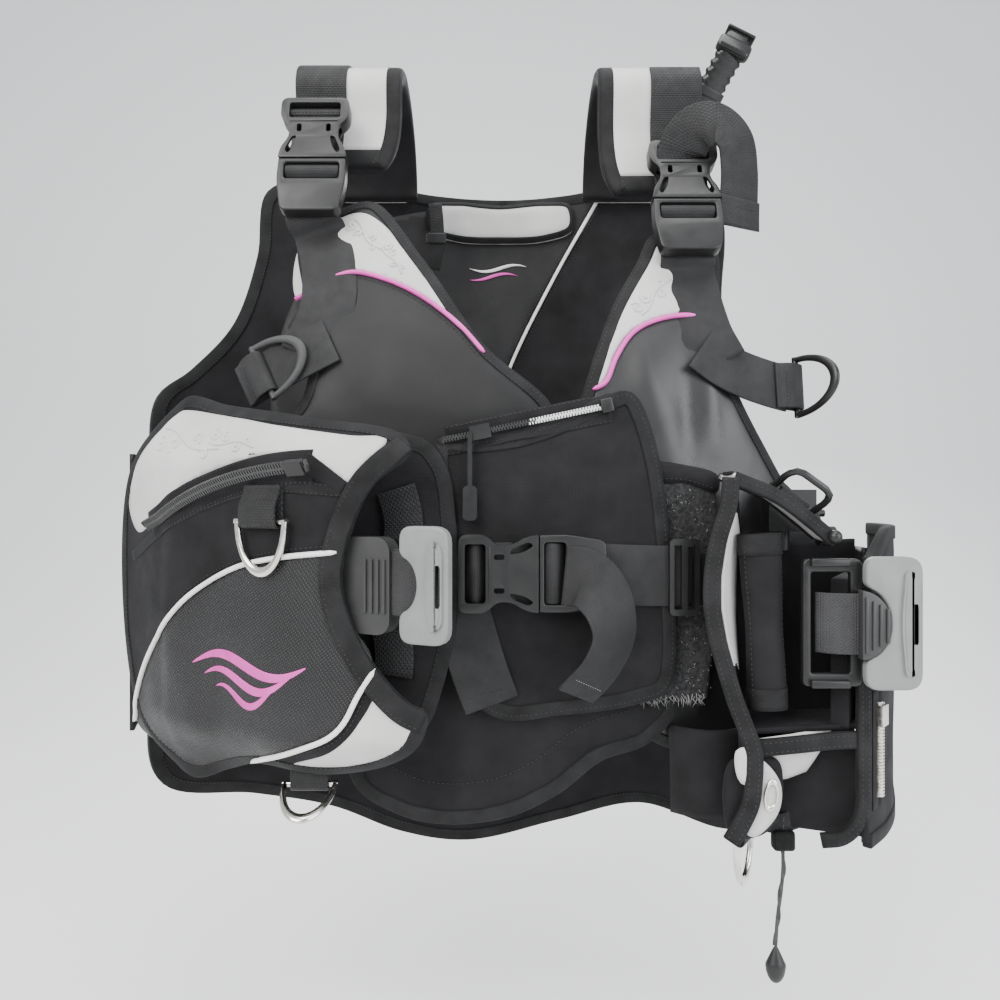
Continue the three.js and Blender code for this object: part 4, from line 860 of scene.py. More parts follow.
def join_pieces(objects):
    bpy.ops.object.select_all(action="DESELECT")
    for o in objects:
        o.select_set(True)
    bpy.context.view_layer.objects.active = objects[0]
    bpy.ops.object.join()
    return bpy.context.object


# ---- Dump valve's pull cord and knob ----
CORD_LINE = [
    [183, -129, -530], [183, -129, -548], [183, -129, -564], [182, -128.5, -578], [180, -127.5, -596],
    [179, -127, -614],
]
CORD_WIDTH = 2.4


def pull_cord():
    """A thin cord doubled back on itself, with a moulded drop on its end."""
    line = smooth_line(CORD_LINE, 2.0)
    outs = np.tile([0.0, -1.0, 0.0], (len(line), 1))
    f = Finish("braided_cord", "webbing", grey(0.03), 0.6)
    f.bump(f.wave(1 / 0.0011 / 2, f.place(uv=True, turn=0.6), "X"), 0.2)
    f.colour_by(f.noise(300, 4), grey(0.02), grey(0.06))
    cord = sweep("pull_cord_strands", line, outs, round_section(CORD_WIDTH / 2, 10), f.material, "dump_pull")
    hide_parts("pull_cord")
    strand = line.copy()
    turns = np.linspace(0, 5 * math.pi, len(line))
    strand[:, 0] += 1.25 * np.cos(turns)
    strand[:, 1] += 1.25 * np.sin(turns)
    second = sweep("pull_cord_second_strand", strand, outs, round_section(0.8, 8), f.material, "dump_pull")
    # The drop: a squashed sphere, narrow where the cord goes in.
    bpy.ops.object.select_all(action="DESELECT")
    bpy.ops.mesh.primitive_uv_sphere_add(segments=28, ring_count=20, radius=0.0066)
    drop = bpy.context.object
    for v in drop.data.vertices:
        up = v.co.z / 0.0066
        v.co.z *= 1.85
        v.co.y *= 0.8
        slim = 1 - 0.62 * max(0.0, up) ** 0.8
        v.co.x *= slim
        v.co.y *= slim
        v.co.z -= 0.0122
    drop.data.transform(Matrix.Translation(Vector(CORD_LINE[-1]) * MM))
    knob = settle(drop, "pull_cord_drop", RUBBER, "dump_pull", angle=60)
    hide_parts("pull_knob")


pull_cord()


# ---- Back: liner, bladder, rigid backpack's dressings ----
BACK_OUTLINE = [
    [0, -50], [-60, -46], [-110, -38], [-168, -36], [-205, -52], [-213, -110], [-231, -172], [-262, -216],
    [-283, -240], [-286, -330], [-284, -440], [-280, -560], [-215, -582], [-150, -602], [-90, -628], [-30, -637],
    [55, -618], [128, -600], [200, -616], [250, -600], [266, -500], [280, -420], [272, -350], [236, -300],
    [206, -240], [196, -150], [196, -70], [168, -38], [110, -38], [60, -46],
]
BLADDER_OUTLINE = [
    [0, -72], [-90, -62], [-160, -62], [-190, -100], [-206, -190], [-250, -262], [-262, -360], [-258, -480],
    [-215, -555], [-120, -585], [0, -596], [120, -585], [215, -560], [248, -480], [250, -390], [214, -300],
    [184, -200], [176, -100], [150, -62], [80, -62],
]
COLLAR_OUTLINE = [
    [0, -56], [-40, -53], [-64, -56], [-66, -78], [-40, -88], [0, -90], [40, -88], [66, -78], [64, -56], [40, -53],
]
BACK_PIPING = [[92, -46], [51, -118], [12, -196], [-2, -236], [-18, -300]]


def back_liner():
    outline = smooth_line(BACK_OUTLINE, 7, closed=True)
    skin = Skin(outline, back, 0, 8, rim=5, edge=0.8, crease=1.6, grain=70, stretch=2.2, turn=1.2, seed=4)
    liner = panel("back_liner", skin, CLOTH, 8)
    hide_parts("back_panel")
    binding("back_edge_binding", skin, 10)
    grained = smooth_line(
        [[90, -48], [50, -118], [11, -196], [-4, -236], [-20, -300], [-120, -330], [-190, -300], [-200, -200],
         [-150, -90], [-70, -60], [0, -60]],
        6, closed=True,
    )
    overlay = Skin(grained, skin, -0.7, 0.2, rim=3, edge=0.6, crease=0.5, grain=45, seed=8)
    panel("grained_back_liner", overlay, LEATHER, 6)
    line = smooth_line(BACK_PIPING, 5)
    piping("back_white_piping", skin, line, 1.5, 1.1, WHITE)
    stitches("back_piping_stitches", skin, inset(line, 4.5), 0.5)
    stitches("back_piping_stitches_left", skin, inset(line, -4.5), 1.2)
    wave_mark(skin)


def wave_mark(skin):
    """A plain mark on the liner: two wavy strokes."""
    for k, finish in enumerate((WHITE, PINK)):
        x = np.linspace(-28, 24 - 8 * k, 30)
        z = -112 - 8 * k + 3.0 * np.sin(x / 9 + k)
        widths = np.sin(np.linspace(0.12, math.pi - 0.12, len(x)))
        tape(f"liner_wave_{k + 1}", skin, np.stack([x, z], 1), 3.0, 1.5, 0.5, finish, widths=widths)


def air_bladder():
    outline = smooth_line(BLADDER_OUTLINE, 8, closed=True)
    channels = [
        (smooth_line([[-96, -100], [-104, -250], [-100, -400], [-92, -520]], 8), 7, 7),
        (smooth_line([[96, -100], [104, -250], [100, -400], [92, -520]], 8), 7, 7),
        (smooth_line([[-200, -440], [-150, -470], [-110, -520]], 8), 6, 4),
        (smooth_line([[200, -440], [150, -470], [110, -520]], 8), 6, 4),
    ]
    skin = Skin(outline, back, 31.4, 8.8, rim=42, edge=0.2, grooves=channels, crease=2.4, grain=48, seed=5, side=1)
    bladder = panel("air_bladder_shell", skin, COATED, 8)
    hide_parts("air_bladder")
    binding("bladder_binding", skin, 9)
    for k, (line, *_) in enumerate(channels):
        stitches(f"bladder_channel_stitches_{k + 1}", skin, line, 0.4, side=1)


def collar():
    outline = smooth_line(COLLAR_OUTLINE, 3, closed=True)
    skin = Skin(outline, back, -9.4, -0.8, rim=10, edge=0.25, crease=1.2, grain=26, seed=3)
    pad = panel("neck_collar_pad", skin, SILVER, 3)
    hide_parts("neck_collar")
    binding("collar_binding", skin, 6)


def neck_strap():
    """A short strap and slide hanging from the collar."""
    points = smooth_line([[-58, 66, -60], [-56, 64, -82], [-57, 66, -104], [-60, 70, -118]], 3)
    outs = np.tile([0.0, -1.0, 0.0], (len(points), 1))
    ribbon_between("neck_strap", points, outs, 12, 1.6, WEBBING)
    slide = block((18, 3, 9), (-57, 63.5, -92), 0.9)
    settle(slide, "neck_strap_slide", BLACK_PLASTIC)


def tank_band():
    low, high = box_mm("tank_band")
    middle = (low + high) / 2
    half_x = (high.x - low.x) / 2 - 1.3
    half_y = (high.y - low.y) / 2 - 1.3
    turn = np.linspace(0, 2 * math.pi, 120, endpoint=False)
    c, s = np.cos(turn), np.sin(turn)
    x = half_x * np.sign(c) * np.abs(c) ** 0.8
    y = half_y * np.sign(s) * np.abs(s) ** 0.8
    points = np.stack([middle.x + x, middle.y + y, np.full(len(x), middle.z)], 1)
    outs = unit(np.stack([x, y, 0 * x], 1))
    band = sweep("tank_band_webbing", points, outs, flat_section(50, 1.2, -1.2, 0.8), WEBBING, closed=True)
    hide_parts("tank_band")
    for k, away in enumerate((-22, 22)):
        row = points + outs * 1.5 + np.array([0, 0, away])
        stitch_row(f"tank_band_stitches_{k + 1}", row, outs, closed=True)


back_liner()
air_bladder()
collar()
neck_strap()
tank_band()

# ---- Front lobes, with their silver yokes ----
RIGHT_LOBE = [
    [-146, -128], [-118, -112], [-93, -107], [-56, -153], [-10, -221], [34, -262], [40, -290], [38, -362],
    [-30, -400], [-58, -486], [-150, -500], [-240, -492], [-262, -410], [-255, -300], [-192, -278], [-140, -264],
    [-130, -240], [-136, -190],
]
LEFT_LOBE = [
    [110, -134], [134, -128], [157, -136], [156, -180], [153, -222], [166, -256], [186, -290], [208, -322],
    [234, -348], [256, -384], [258, -420], [240, -492], [150, -500], [92, -478], [62, -400], [48, -320],
    [50, -276], [60, -240], [78, -192], [98, -156],
]
RIGHT_YOKE = [
    [-146, -138], [-118, -121], [-100, -117], [-84, -127], [-54, -166], [-22, -212], [-11, -226], [-28, -206],
    [-55, -184], [-80, -171], [-104, -165], [-124, -172], [-144, -182],
]
LEFT_YOKE = [
    [112, -144], [100, -164], [84, -192], [70, -224], [63, -250], [69, -247], [77, -228], [89, -211], [104, -202],
    [126, -197], [150, -200], [151, -150], [134, -138],
]


def right_lobe():
    outline = smooth_line(RIGHT_LOBE, 5, closed=True)
    folds = [(-40, -190, 20, -262, 10, 1.5), (-120, -200, -60, -250, 22, 2.0), (-30, -260, 30, -300, 14, 1.4)]
    skin = Skin(
        outline, front, 0, 12, rim=14, edge=0.45, folds=folds, crease=1.8, grain=52, turn=-0.8, stretch=1.8, seed=1
    )
    lobe = panel("right_front_lobe_shell", skin, COATED, 4.5)
    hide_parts("right_front_lobe")
    binding("right_lobe_binding", skin, 9, rows=2)
    yoke_outline = smooth_line(RIGHT_YOKE, 3.5, closed=True)
    yoke = Skin(yoke_outline, skin, -0.6, 0.3, rim=2.5, edge=0.5, crease=0.5, grain=22, seed=2)
    panel("right_silver_yoke", yoke, SILVER, 3)
    lower = smooth_line(
        [[-11, -227], [-28, -207], [-55, -185], [-80, -172], [-104, -166], [-124, -173], [-145, -183]], 3
    )
    piping("right_pink_piping", skin, lower, 1.7, 1.0, PINK)
    stitches("right_yoke_stitches", skin, inset(lower, 4), 0.4)
    scrolls("right_yoke_scroll", yoke, (-98, -134), 0.5, -0.9, mirror=-1)
    scrolls("right_yoke_scroll_low", yoke, (-76, -154), 0.4, -0.95, mirror=1)
    return skin


def left_lobe():
    outline = smooth_line(LEFT_LOBE, 5, closed=True)
    folds = [
        (92, -214, 118, -300, 9, 2.2), (124, -218, 128, -300, 7, -2.4), (104, -220, 84, -290, 12, 1.6),
        (140, -214, 146, -290, 6, 2.0),
    ]
    skin = Skin(
        outline, front, 0, 12, rim=14, edge=0.45, folds=folds, crease=1.4, grain=44, turn=1.4, stretch=2.4, seed=6
    )
    lobe = panel("left_front_lobe_shell", skin, COATED_GLOSS, 4.5)
    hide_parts("left_front_lobe")
    binding("left_lobe_binding", skin, 9, rows=2)
    yoke_outline = smooth_line(LEFT_YOKE, 3.5, closed=True)
    yoke = Skin(yoke_outline, skin, -0.6, 0.3, rim=2.5, edge=0.5, crease=0.4, grain=22, seed=9)
    panel("left_silver_yoke", yoke, SILVER, 3)
    lower = smooth_line(
        [[62, -252], [70, -247], [78, -229], [90, -212], [105, -203], [128, -198], [151, -201]], 3
    )
    piping("left_pink_piping", skin, lower, 1.7, 1.0, PINK)
    scrolls("left_yoke_scroll", yoke, (104, -186), 0.55, 0.9, mirror=1)
    return skin


def spiral(centre, size, start, turns, grow, mirror=1):
    """A line curling out from a centre."""
    t = np.linspace(0, 1, 26)
    angle = start + mirror * turns * 2 * math.pi * t
    radius = size * (0.12 + 0.88 * t**grow)
    return np.stack([centre[0] + radius * np.cos(angle), centre[1] + radius * np.sin(angle)], 1)


def scrolls(name, surface, centre, size, turn, mirror=1):
    """Raised curls stitched into silver cloth: three spirals on a wavy stem."""
    c, s = math.cos(turn), math.sin(turn)
    stem_x = np.linspace(-26, 40, 30)
    stem = np.stack([stem_x, 3.5 * np.sin(stem_x / 10) - 2], 1)
    curls = [
        stem,
        spiral((-22, 6), 8, 0.4, 1.2, 1.1, 1),
        spiral((-4, 5), 7, 2.4, -1.1, 1.1, 1),
        spiral((14, -6), 6, 0.6, 1.0, 1.1, 1),
        spiral((28, 4), 5, 2.8, -0.9, 1.1, 1),
    ]
    for k, line in enumerate(curls):
        a, b = line[:, 0], line[:, 1] * mirror
        placed = np.stack([a * c - b * s, a * s + b * c], 1) * size + np.array(centre)
        keep = placed[inside(placed, surface.outline)]
        if len(keep) < 4:
            continue
        widths = 0.35 + 0.65 * np.sin(np.linspace(0.2, math.pi - 0.2, len(keep)))
        points, outs = on_surface(surface, keep, 0.15)
        section = [[a * 1.3, b * 0.75] for a, b in round_section(0.9, 8)]
        sweep(f"{name}_{k + 1}", points, outs, section, SILVER, widths=widths)


RIGHT_SKIN = right_lobe()
LEFT_SKIN = left_lobe()


# ---- Waist: cummerbund, loop column, zip panel ----
def cummerbund():
    outline = smooth_line(
        [[-90, -338], [0, -334], [84, -338], [118, -400], [124, -452], [98, -484], [66, -495], [38, -516],
         [6, -531], [-34, -536], [-66, -530], [-96, -510], [-100, -430]],
        5, closed=True,
    )
    skin = Skin(outline, front, -7.4, -0.8, rim=8, edge=0.5, crease=1.5, grain=50, stretch=1.6, turn=0.5, seed=12)
    piece = panel("cummerbund_pad", skin, CLOTH, 5)
    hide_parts("cummerbund")
    binding("cummerbund_binding", skin, 10, rows=1)
    stitches("cummerbund_inner_stitches", skin, inset(skin.outline, 26, True), 0.5, closed=True)


def loop_column():
    """A column of loop cloth beside the zip panel, its foot hanging frayed."""
    outline = straight_line(
        [[99, -303], [121, -304], [143, -311], [147, -391], [139, -440], [137, -456], [126, -459], [114, -454],
         [100, -459], [86, -451], [90, -390]],
        4, closed=True,
    )
    outline += np.stack([np.zeros(len(outline)), 0.7 * ripple(outline[:, 0], outline[:, 1], 6, seed=31)], 1)
    folds = [(120, -310, 112, -380, 5, 1.6), (132, -320, 128, -450, 6, 1.2), (100, -400, 104, -455, 7, 1.8)]
    skin = Skin(outline, front, -10.5, -8.3, rim=3, edge=0.5, folds=folds, crease=1.0, grain=18, seed=14)
    piece = panel("loop_column_cloth", skin, LOOP_CLOTH, 3)
    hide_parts("hook_column")
    hem = Skin(
        smooth_line([[97, -301], [122, -302], [145, -309], [144, -320], [122, -314], [97, -313]], 4, closed=True),
        skin, -1.2, -0.1, rim=2, edge=0.5, crease=0.4, grain=14, seed=15,
    )
    panel("loop_column_hem", hem, CLOTH, 3)
    stitches("loop_column_hem_stitches", hem, smooth_line([[98, -311], [122, -312], [143, -318]], 3), 0.3)
    fray(skin)


def fray(skin):
    """Loose threads at the column's foot and bits of lint on its face."""
    verts, faces = [], []

    def strand(x, z, angle, length, thick):
        y = float(skin(x, z)[0])
        dx, dz = math.cos(angle) * length, math.sin(angle) * length
        lift = random.uniform(0.4, 1.8)
        n = len(verts)
        nx, nz = -math.sin(angle) * thick, math.cos(angle) * thick
        verts.extend([
            (x - nx, y, z - nz), (x + nx, y, z + nz), (x, y - thick * 2, z),
            (x + dx / 2, y - lift, z + dz / 2 + thick), (x + dx, y - lift * 0.5, z + dz),
        ])
        faces.extend([(n, n + 1, n + 2), (n, n + 3, n + 1), (n + 1, n + 3, n + 2), (n + 2, n + 3, n),
                      (n + 3, n + 4, n), (n + 3, n + 1, n + 4)])

    for _ in range(70):
        x = random.uniform(90, 136)
        strand(x, -455 + random.uniform(-2, 3), random.uniform(-2.4, -0.7), random.uniform(2, 7), 0.22)
    for _ in range(220):
        x, z = random.uniform(94, 142), random.uniform(-450, -318)
        strand(x, z, random.uniform(0, 6.28), random.uniform(0.8, 2.6), 0.16)
    mesh_piece("loop_column_fray", verts, faces, PALE_THREAD, smooth=False)


ZIP_PANEL = [
    [-39, -287], [-13, -286], [14, -282], [42, -272], [66, -260], [84, -256], [97, -280], [108, -340],
    [109, -446], [90, -455], [39, -462], [0, -464], [-20, -448], [-30, -389], [-39, -330],
]
ZIP_LEFT = np.array([-37.0, -287.0])
ZIP_RIGHT = np.array([68.0, -265.0])


def zip_panel():
    outline = smooth_line(ZIP_PANEL, 4, closed=True)
    folds = [(-10, -330, 40, -430, 12, 1.4), (60, -300, 90, -420, 10, 1.2), (20, -300, 70, -330, 9, 1.0)]
    skin = Skin(outline, front, -17.1, -11.5, rim=6, edge=0.5, folds=folds, crease=1.2, grain=36, seed=16)
    piece = panel("zip_panel_cloth", skin, CLOTH, 4)
    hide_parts("zip_panel")
    binding("zip_panel_binding", skin, 10, rows=2)
    for k, down in enumerate((6.0, -5.0)):
        line = straight_line([ZIP_LEFT + [2, -down], ZIP_RIGHT + [4, -down]], 4)
        tape(f"front_zip_tape_{k + 1}", skin, line, 8.5, 0.8, -0.4, CLOTH)
        stitches(f"front_zip_tape_stitches_{k + 1}", skin, inset(line, 3.2 if down < 0 else -3.2), 1.0)


cummerbund()
loop_column()
zip_panel()


# ---- Zips ----
def tooth_shape(width, depth, pitch):
    """One moulded tooth: a head that narrows to its neck."""
    h, d = width / 2, depth / 2
    w = pitch * 0.36
    outline = [(-h, -w), (h * 0.3, -w), (h, -w * 0.55), (h, w * 0.55), (h * 0.3, w), (-h, w)]
    verts = [(a, b, -d) for a, b in outline] + [(a * 0.86, b * 0.8, d) for a, b in outline]
    n = len(outline)
    faces = [tuple(range(n))[::-1], tuple(range(n, 2 * n))]
    faces += [(k, (k + 1) % n, n + (k + 1) % n, n + k) for k in range(n)]
    return np.array(verts), faces


def teeth(name, points, outs, finish, width=2.6, depth=1.8, pitch=1.9, body="vest"):
    """Two rows of teeth meeting along a line, left and right in turn."""
    p = np.asarray(points, float)
    run = distances_along(p)
    shape, shape_faces = tooth_shape(width, depth, pitch)
    verts, faces = [], []
    at, side = pitch / 2, 1
    while at < run[-1] - pitch / 2:
        here = np.array([np.interp(at, run, p[:, k]) for k in range(3)])
        ahead = np.array([np.interp(at + 0.5, run, p[:, k]) for k in range(3)]) - here
        ahead /= np.linalg.norm(ahead)
        out = np.array([np.interp(at, run, np.asarray(outs)[:, k]) for k in range(3)])
        across = np.cross(ahead, out)
        across /= np.linalg.norm(across)
        out = np.cross(across, ahead)
        base = len(verts)
        for a, b, c in shape:
            verts.append(here + across * side * (-a + width * 0.28) + ahead * b + out * c)
        faces += [tuple(base + v for v in f) for f in shape_faces]
        side = -side
        at += pitch / 2
    return outward(mesh_piece(name, verts, faces, finish, body, smooth=False))


def front_zip():
    low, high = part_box("front_zipper")
    y = (low.y / MM + high.y / MM) / 2
    direction = (ZIP_RIGHT - ZIP_LEFT) / np.linalg.norm(ZIP_RIGHT - ZIP_LEFT)

    def along(start, end):
        line = straight_line([ZIP_LEFT + direction * start, ZIP_LEFT + direction * end], 3)
        points = np.stack([line[:, 0], np.full(len(line), y), line[:, 1]], 1)
        return points, np.tile([0.0, -1.0, 0.0], (len(line), 1))

    first = teeth("front_zip_teeth", *along(0, 62), TEETH)
    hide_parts("front_zipper")
    teeth("front_zip_teeth_right", *along(56, 104), WHITE_TEETH)
    angle = math.atan2(direction[1], direction[0])
    end = Matrix.Translation(Vector((ZIP_RIGHT[0], y, ZIP_RIGHT[1])) * MM) @ Matrix.Rotation(-angle, 4, "Y")
    box_end = block((8, 4.4, 9), (0, -0.6, 0), 1.0, matrix=end)
    settle(box_end, "front_zip_end_box", BLACK_PLASTIC)


front_zip()


# ---- Places and frames for fittings ----
def turned(x, y, z, about_x=0.0, about_y=0.0, about_z=0.0):
    """A place in millimetres, turned about Z last."""
    turn = Matrix.Rotation(about_z, 4, "Z") @ Matrix.Rotation(about_y, 4, "Y")
    return Matrix.Translation(Vector((x, y, z)) * MM) @ (turn @ Matrix.Rotation(about_x, 4, "X"))


def place_on(surface, standoff, x, z, bar_turn):
    """A frame on a surface: X along bar_turn, Y inwards and Z up, standoff ahead of it."""
    h = 12.0
    at = lambda a, b: float(np.atleast_1d(surface(np.array([a]), np.array([b])))[0])
    slope_x = (at(x + h, z) - at(x - h, z)) / (2 * h)
    slope_z = (at(x, z + h) - at(x, z - h)) / (2 * h)
    c, s = math.cos(bar_turn), math.sin(bar_turn)
    along = Vector((c, slope_x * c + slope_z * s, s)).normalized()
    inward = Vector((-slope_x, 1, -slope_z)).normalized()
    up = along.cross(inward)
    origin = Vector((x, at(x, z), z)) - inward * standoff
    m = Matrix((along, inward, up)).transposed().to_4x4()
    return Matrix.Translation(origin * MM) @ m


def in_place(matrix, points):
    """Local [x, y, z] points in millimetres, as points in the vest's frame in millimetres."""
    return np.array([list((matrix @ (Vector(p) * MM)) / MM) for p in points])


def directions(matrix, vectors):
    turn = matrix.to_3x3()
    return np.array([list((turn @ Vector(v)).normalized()) for v in vectors])


def local_ribbon(name, matrix, path, width, thickness, finish, body="vest"):
    """Webbing whose [y, z] path runs in a fitting's own frame, its faces turned across that path."""
    line = smooth_line(path, 1.5)
    d = tangents(line)
    points = in_place(matrix, [(0.0, y, z) for y, z in line])
    outs = directions(matrix, [(0, -b, a) for a, b in d])
    return ribbon_between(name, points, outs, width, thickness, finish, body)


def ring_loop(name, matrix, width, wire, tail, finish=WEBBING):
    """Webbing folded round a ring's bar and sewn to itself."""
    r = wire / 2 + 1.5
    path = [(r, tail), (r, tail * 0.5), (r, 1.5)]
    path += [(r * math.cos(a), -r * math.sin(a)) for a in np.linspace(0.25, math.pi - 0.25, 7)]
    path += [(-r, 1.5), (-r + 0.6, tail * 0.45), (0.6, tail * 0.8), (1.2, tail)]
    local_ribbon(name, matrix, path, width, 1.7, finish)
    for k, up in enumerate((0.46, 0.62)):
        across = np.linspace(-width / 2 + 2, width / 2 - 2, 12)
        row = in_place(matrix, [(x, -r - 0.1 + k * 0.9, tail * up) for x in across])
        stitch_row(f"{name}_stitches_{k + 1}", row, directions(matrix, [(0, -1, 0)] * len(row)), 2.6, 1.8)


def bow_ring(name, node, matrix, width, drop, wire, finish, body):
    """A D-shaped ring: a wire spun through half a turn, and its straight bar."""
    w = (width - wire) / 2
    bpy.ops.object.select_all(action="DESELECT")
    bpy.ops.mesh.primitive_circle_add(
        vertices=16, radius=wire / 2 * MM, fill_type="NGON", location=(w * MM, 0, 0)
    )
    bow = bpy.context.object
    bpy.ops.object.transform_apply(location=True, rotation=True, scale=True)
    bpy.ops.object.mode_set(mode="EDIT")
    bpy.ops.mesh.select_all(action="SELECT")
    bpy.ops.mesh.spin(steps=36, angle=math.pi, center=(0, 0, 0), axis=(0, 1, 0))
    bpy.ops.object.mode_set(mode="OBJECT")
    reach = (drop - wire / 2) / w
    low = min(v.co.z for v in bow.data.vertices)
    flip = 1 if abs(low) > wire * MM else -1
    for v in bow.data.vertices:
        z = v.co.z * flip
        v.co.z = z * reach if z < 0 else z
    bpy.ops.mesh.primitive_cylinder_add(
        vertices=16, radius=wire / 2 * MM, depth=(width - wire * 0.2) * MM, rotation=(0, math.pi / 2, 0)
    )
    bar = bpy.context.object
    bpy.ops.object.mode_set(mode="EDIT")
    bpy.ops.mesh.select_all(action="SELECT")
    bpy.ops.object.mode_set(mode="OBJECT")
    bpy.ops.object.transform_apply(location=True, rotation=True, scale=True)
    ring = join_pieces([bow, bar])
    ring.data.transform(matrix)
    settle(ring, name, finish, body, angle=50)
    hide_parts(node)
    return ring


def turned_about_bar(matrix, degrees):
    return matrix @ Matrix.Rotation(math.radians(degrees), 4, "X")


SEWN = 1.4


def tab_depth(wire):
    return wire / 2 + 2.5


# ---- Shoulders ----
PAD_X = 112
PAD_WIDTH = 78
PAD_THICK = 14
PAD_ARCH = 64
CHEST_STANDOFF = 2.6 + tab_depth(4.4) - SEWN
CHEST_TAB = {
    "right": place_on(front, CHEST_STANDOFF, -159, -240, math.radians(118)),
    "left": place_on(front, CHEST_STANDOFF, 205, -247, math.radians(90)),
}
BUCKLE_TOP = {"right": (-134, -35), "left": (132, -68)}
BUCKLE_LENGTH = 92.5


def buckle_place(side):
    x, z = BUCKLE_TOP[side]
    foot = z - BUCKLE_LENGTH - 30
    near = np.array([abs(x) - 24.5])
    standoff = 2.6 + 2 * FIT + 0.2
    top_y = float(front(near, np.array([z]))[0]) - standoff
    foot_y = float(front(near, np.array([foot]))[0]) - standoff
    return turned(x, top_y, z, -math.atan2(top_y - foot_y, z - foot))


def pad_line(foot):
    front_y = lambda z: depth_at(front, PAD_X, z) + 6 + PAD_THICK / 2
    rear_y = float(back(np.array([PAD_X + PAD_WIDTH / 2]), 0)[0]) - PAD_THICK / 2 - 1.8
    return smooth_line(
        [
            (front_y(foot), foot), (front_y(foot / 2), foot / 2), (-PAD_ARCH * 0.62, -8), (-PAD_ARCH * 0.3, 5),
            (0, 7), (PAD_ARCH * 0.45, 0), (PAD_ARCH * 0.85, -17.6), (rear_y, -44), (rear_y, -56),
        ],
        3,
    )


def shoulder(side, sign, foot):
    line = pad_line(foot)
    d = tangents(line)
    normal = np.stack([0 * d[:, 0], -d[:, 1], d[:, 0]], 1)
    middle = np.stack([np.full(len(line), sign * PAD_X), line[:, 0], line[:, 1]], 1)
    run = distances_along(line)
    taper = 1 - 0.34 * np.exp(-run / 14)
    across = np.array([1.0, 0, 0])
    section = [[a * (PAD_WIDTH / 2 - 1), b * (PAD_THICK / 2 - 0.4)] for a, b in super_ellipse(24, 0.5)]
    pad = sweep(f"{side}_shoulder_pad_body", middle, normal, section, CLOTH, widths=taper)
    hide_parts(f"{side}_shoulder_pad")
    face = middle + normal * (PAD_THICK / 2 - 0.9)
    silver_section = flat_section(PAD_WIDTH - 22, 0.9, -0.8, 3)
    sweep(f"{side}_shoulder_pad_face", face[4:], normal[4:], silver_section, SILVER, widths=taper[4:])
    for k, away in enumerate((-1, 1)):
        offset = (PAD_WIDTH / 2 - 7.5) * taper[:, None] * away * across
        edge_points = face + offset - normal * 0.3
        sweep(f"{side}_pad_binding_{k + 1}", edge_points, normal, flat_section(12, 1.5, -3.5, 3), TAPE)
        sewn = face + offset - np.array([4.4 * away, 0, 0]) + normal * 1.5
        stitch_row(f"{side}_pad_stitches_{k + 1}", sewn, normal)
    foot_line = np.linspace(-PAD_WIDTH / 2 + 16, PAD_WIDTH / 2 - 16, 14)
    foot_points = face[2] + foot_line[:, None] * across
    foot_section = flat_section(13, 1.4, -3.5, 3)
    sweep(f"{side}_pad_foot_binding", foot_points, np.tile(normal[2], (14, 1)), foot_section, TAPE)
    shoulder_strap(side, line, normal)


def super_ellipse(count, power):
    turn = [2 * math.pi * k / count for k in range(count)]
    grow = lambda t: math.copysign(abs(t) ** power, t)
    return [(grow(math.cos(a)), grow(math.sin(a))) for a in turn]


def shoulder_strap(side, line, normal):
    """Webbing sewn on the pad, round the buckle's ladder bar."""
    place = buckle_place(side)
    x = BUCKLE_TOP[side][0]
    on_pad = [(x, *(p + n[1:] * (PAD_THICK / 2 + 1.0))) for p, n in zip(line[12:34:3], normal[12:34:3])]
    through = in_place(place, [(0, 1.6, -30), (0, 1.5, -19), (0, -3.5, -15.5), (0, -8.6, -11), (0, -5.0, -5.5),
                               (0, 1.7, -1.5), (0, 2.6, 8)])
    points = smooth_line(np.vstack([through, on_pad]), 2)
    d = tangents(points)
    outs = np.stack([0 * d[:, 0], -d[:, 2], d[:, 1]], 1)
    ribbon_between(f"{side}_shoulder_webbing", points, outs, 38, 1.8, WEBBING)


def chest_webbing(side):
    """Webbing from the male half's slot down the yoke, to its ring."""
    place = buckle_place(side)
    skin = RIGHT_SKIN if side == "right" else LEFT_SKIN
    on_front = lambda x, z: np.minimum(front(x, z) - 2.4, skin(x, z) - 2.0)
    slot = in_place(place, [(0, -4.5, -64), (0, 1.0, -68), (0, 1.4, -76)])
    if side == "right":
        run = [(-130, -132), (-123, -150), (-119, -170), (-118, -190), (-123, -210), (-131, -228)]
        tail = [(-114, -217), (-128, -224), (-142, -231), (-157, -239)]
    else:
        run = [(132, -162), (134, -180), (137, -198), (142, -216), (150, -232)]
        tail = [(136, -222), (150, -232), (166, -239), (184, -244), (200, -247)]
    flat = np.array(run, float)
    lower = laid_on(on_front, flat)
    points = smooth_line(np.vstack([slot, in_place(place, [(0, 1.8, -92)]), lower]), 3)
    d = tangents(points)
    outs = np.stack([0 * d[:, 0], d[:, 2], -d[:, 1]], 1)
    web = ribbon_between(f"{side}_chest_strap", points, outs, 38, 1.8, WAIST_WEBBING)
    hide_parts(f"{side}_chest_webbing")
    local_ribbon(
        f"{side}_chest_strap_loop", place,
        [(1.6, -80), (1.0, -68), (-4.0, -65), (-9.4, -59), (-5, -53.3), (1.0, -52.8), (1.8, -58)],
        38, 1.8, WAIST_WEBBING,
    )
    tail_line = smooth_line(tail, 3)
    lift = raised(front, -3.7)
    tail_points = laid_on(lift, tail_line)
    tail_outs = normals_of(front, tail_line)
    ribbon_between(f"{side}_chest_strap_tail", tail_points, tail_outs, 34, 1.8, WAIST_WEBBING)
    ring_loop(f"{side}_chest_ring_tab", CHEST_TAB[side], 32, 4.4, 18, WAIST_WEBBING)
    skin_line = inset(tail_line, 12)
    points, outs = on_surface(lift, skin_line[2:-2], 1.0)
    stitch_row(f"{side}_chest_tail_stitches", points, outs)


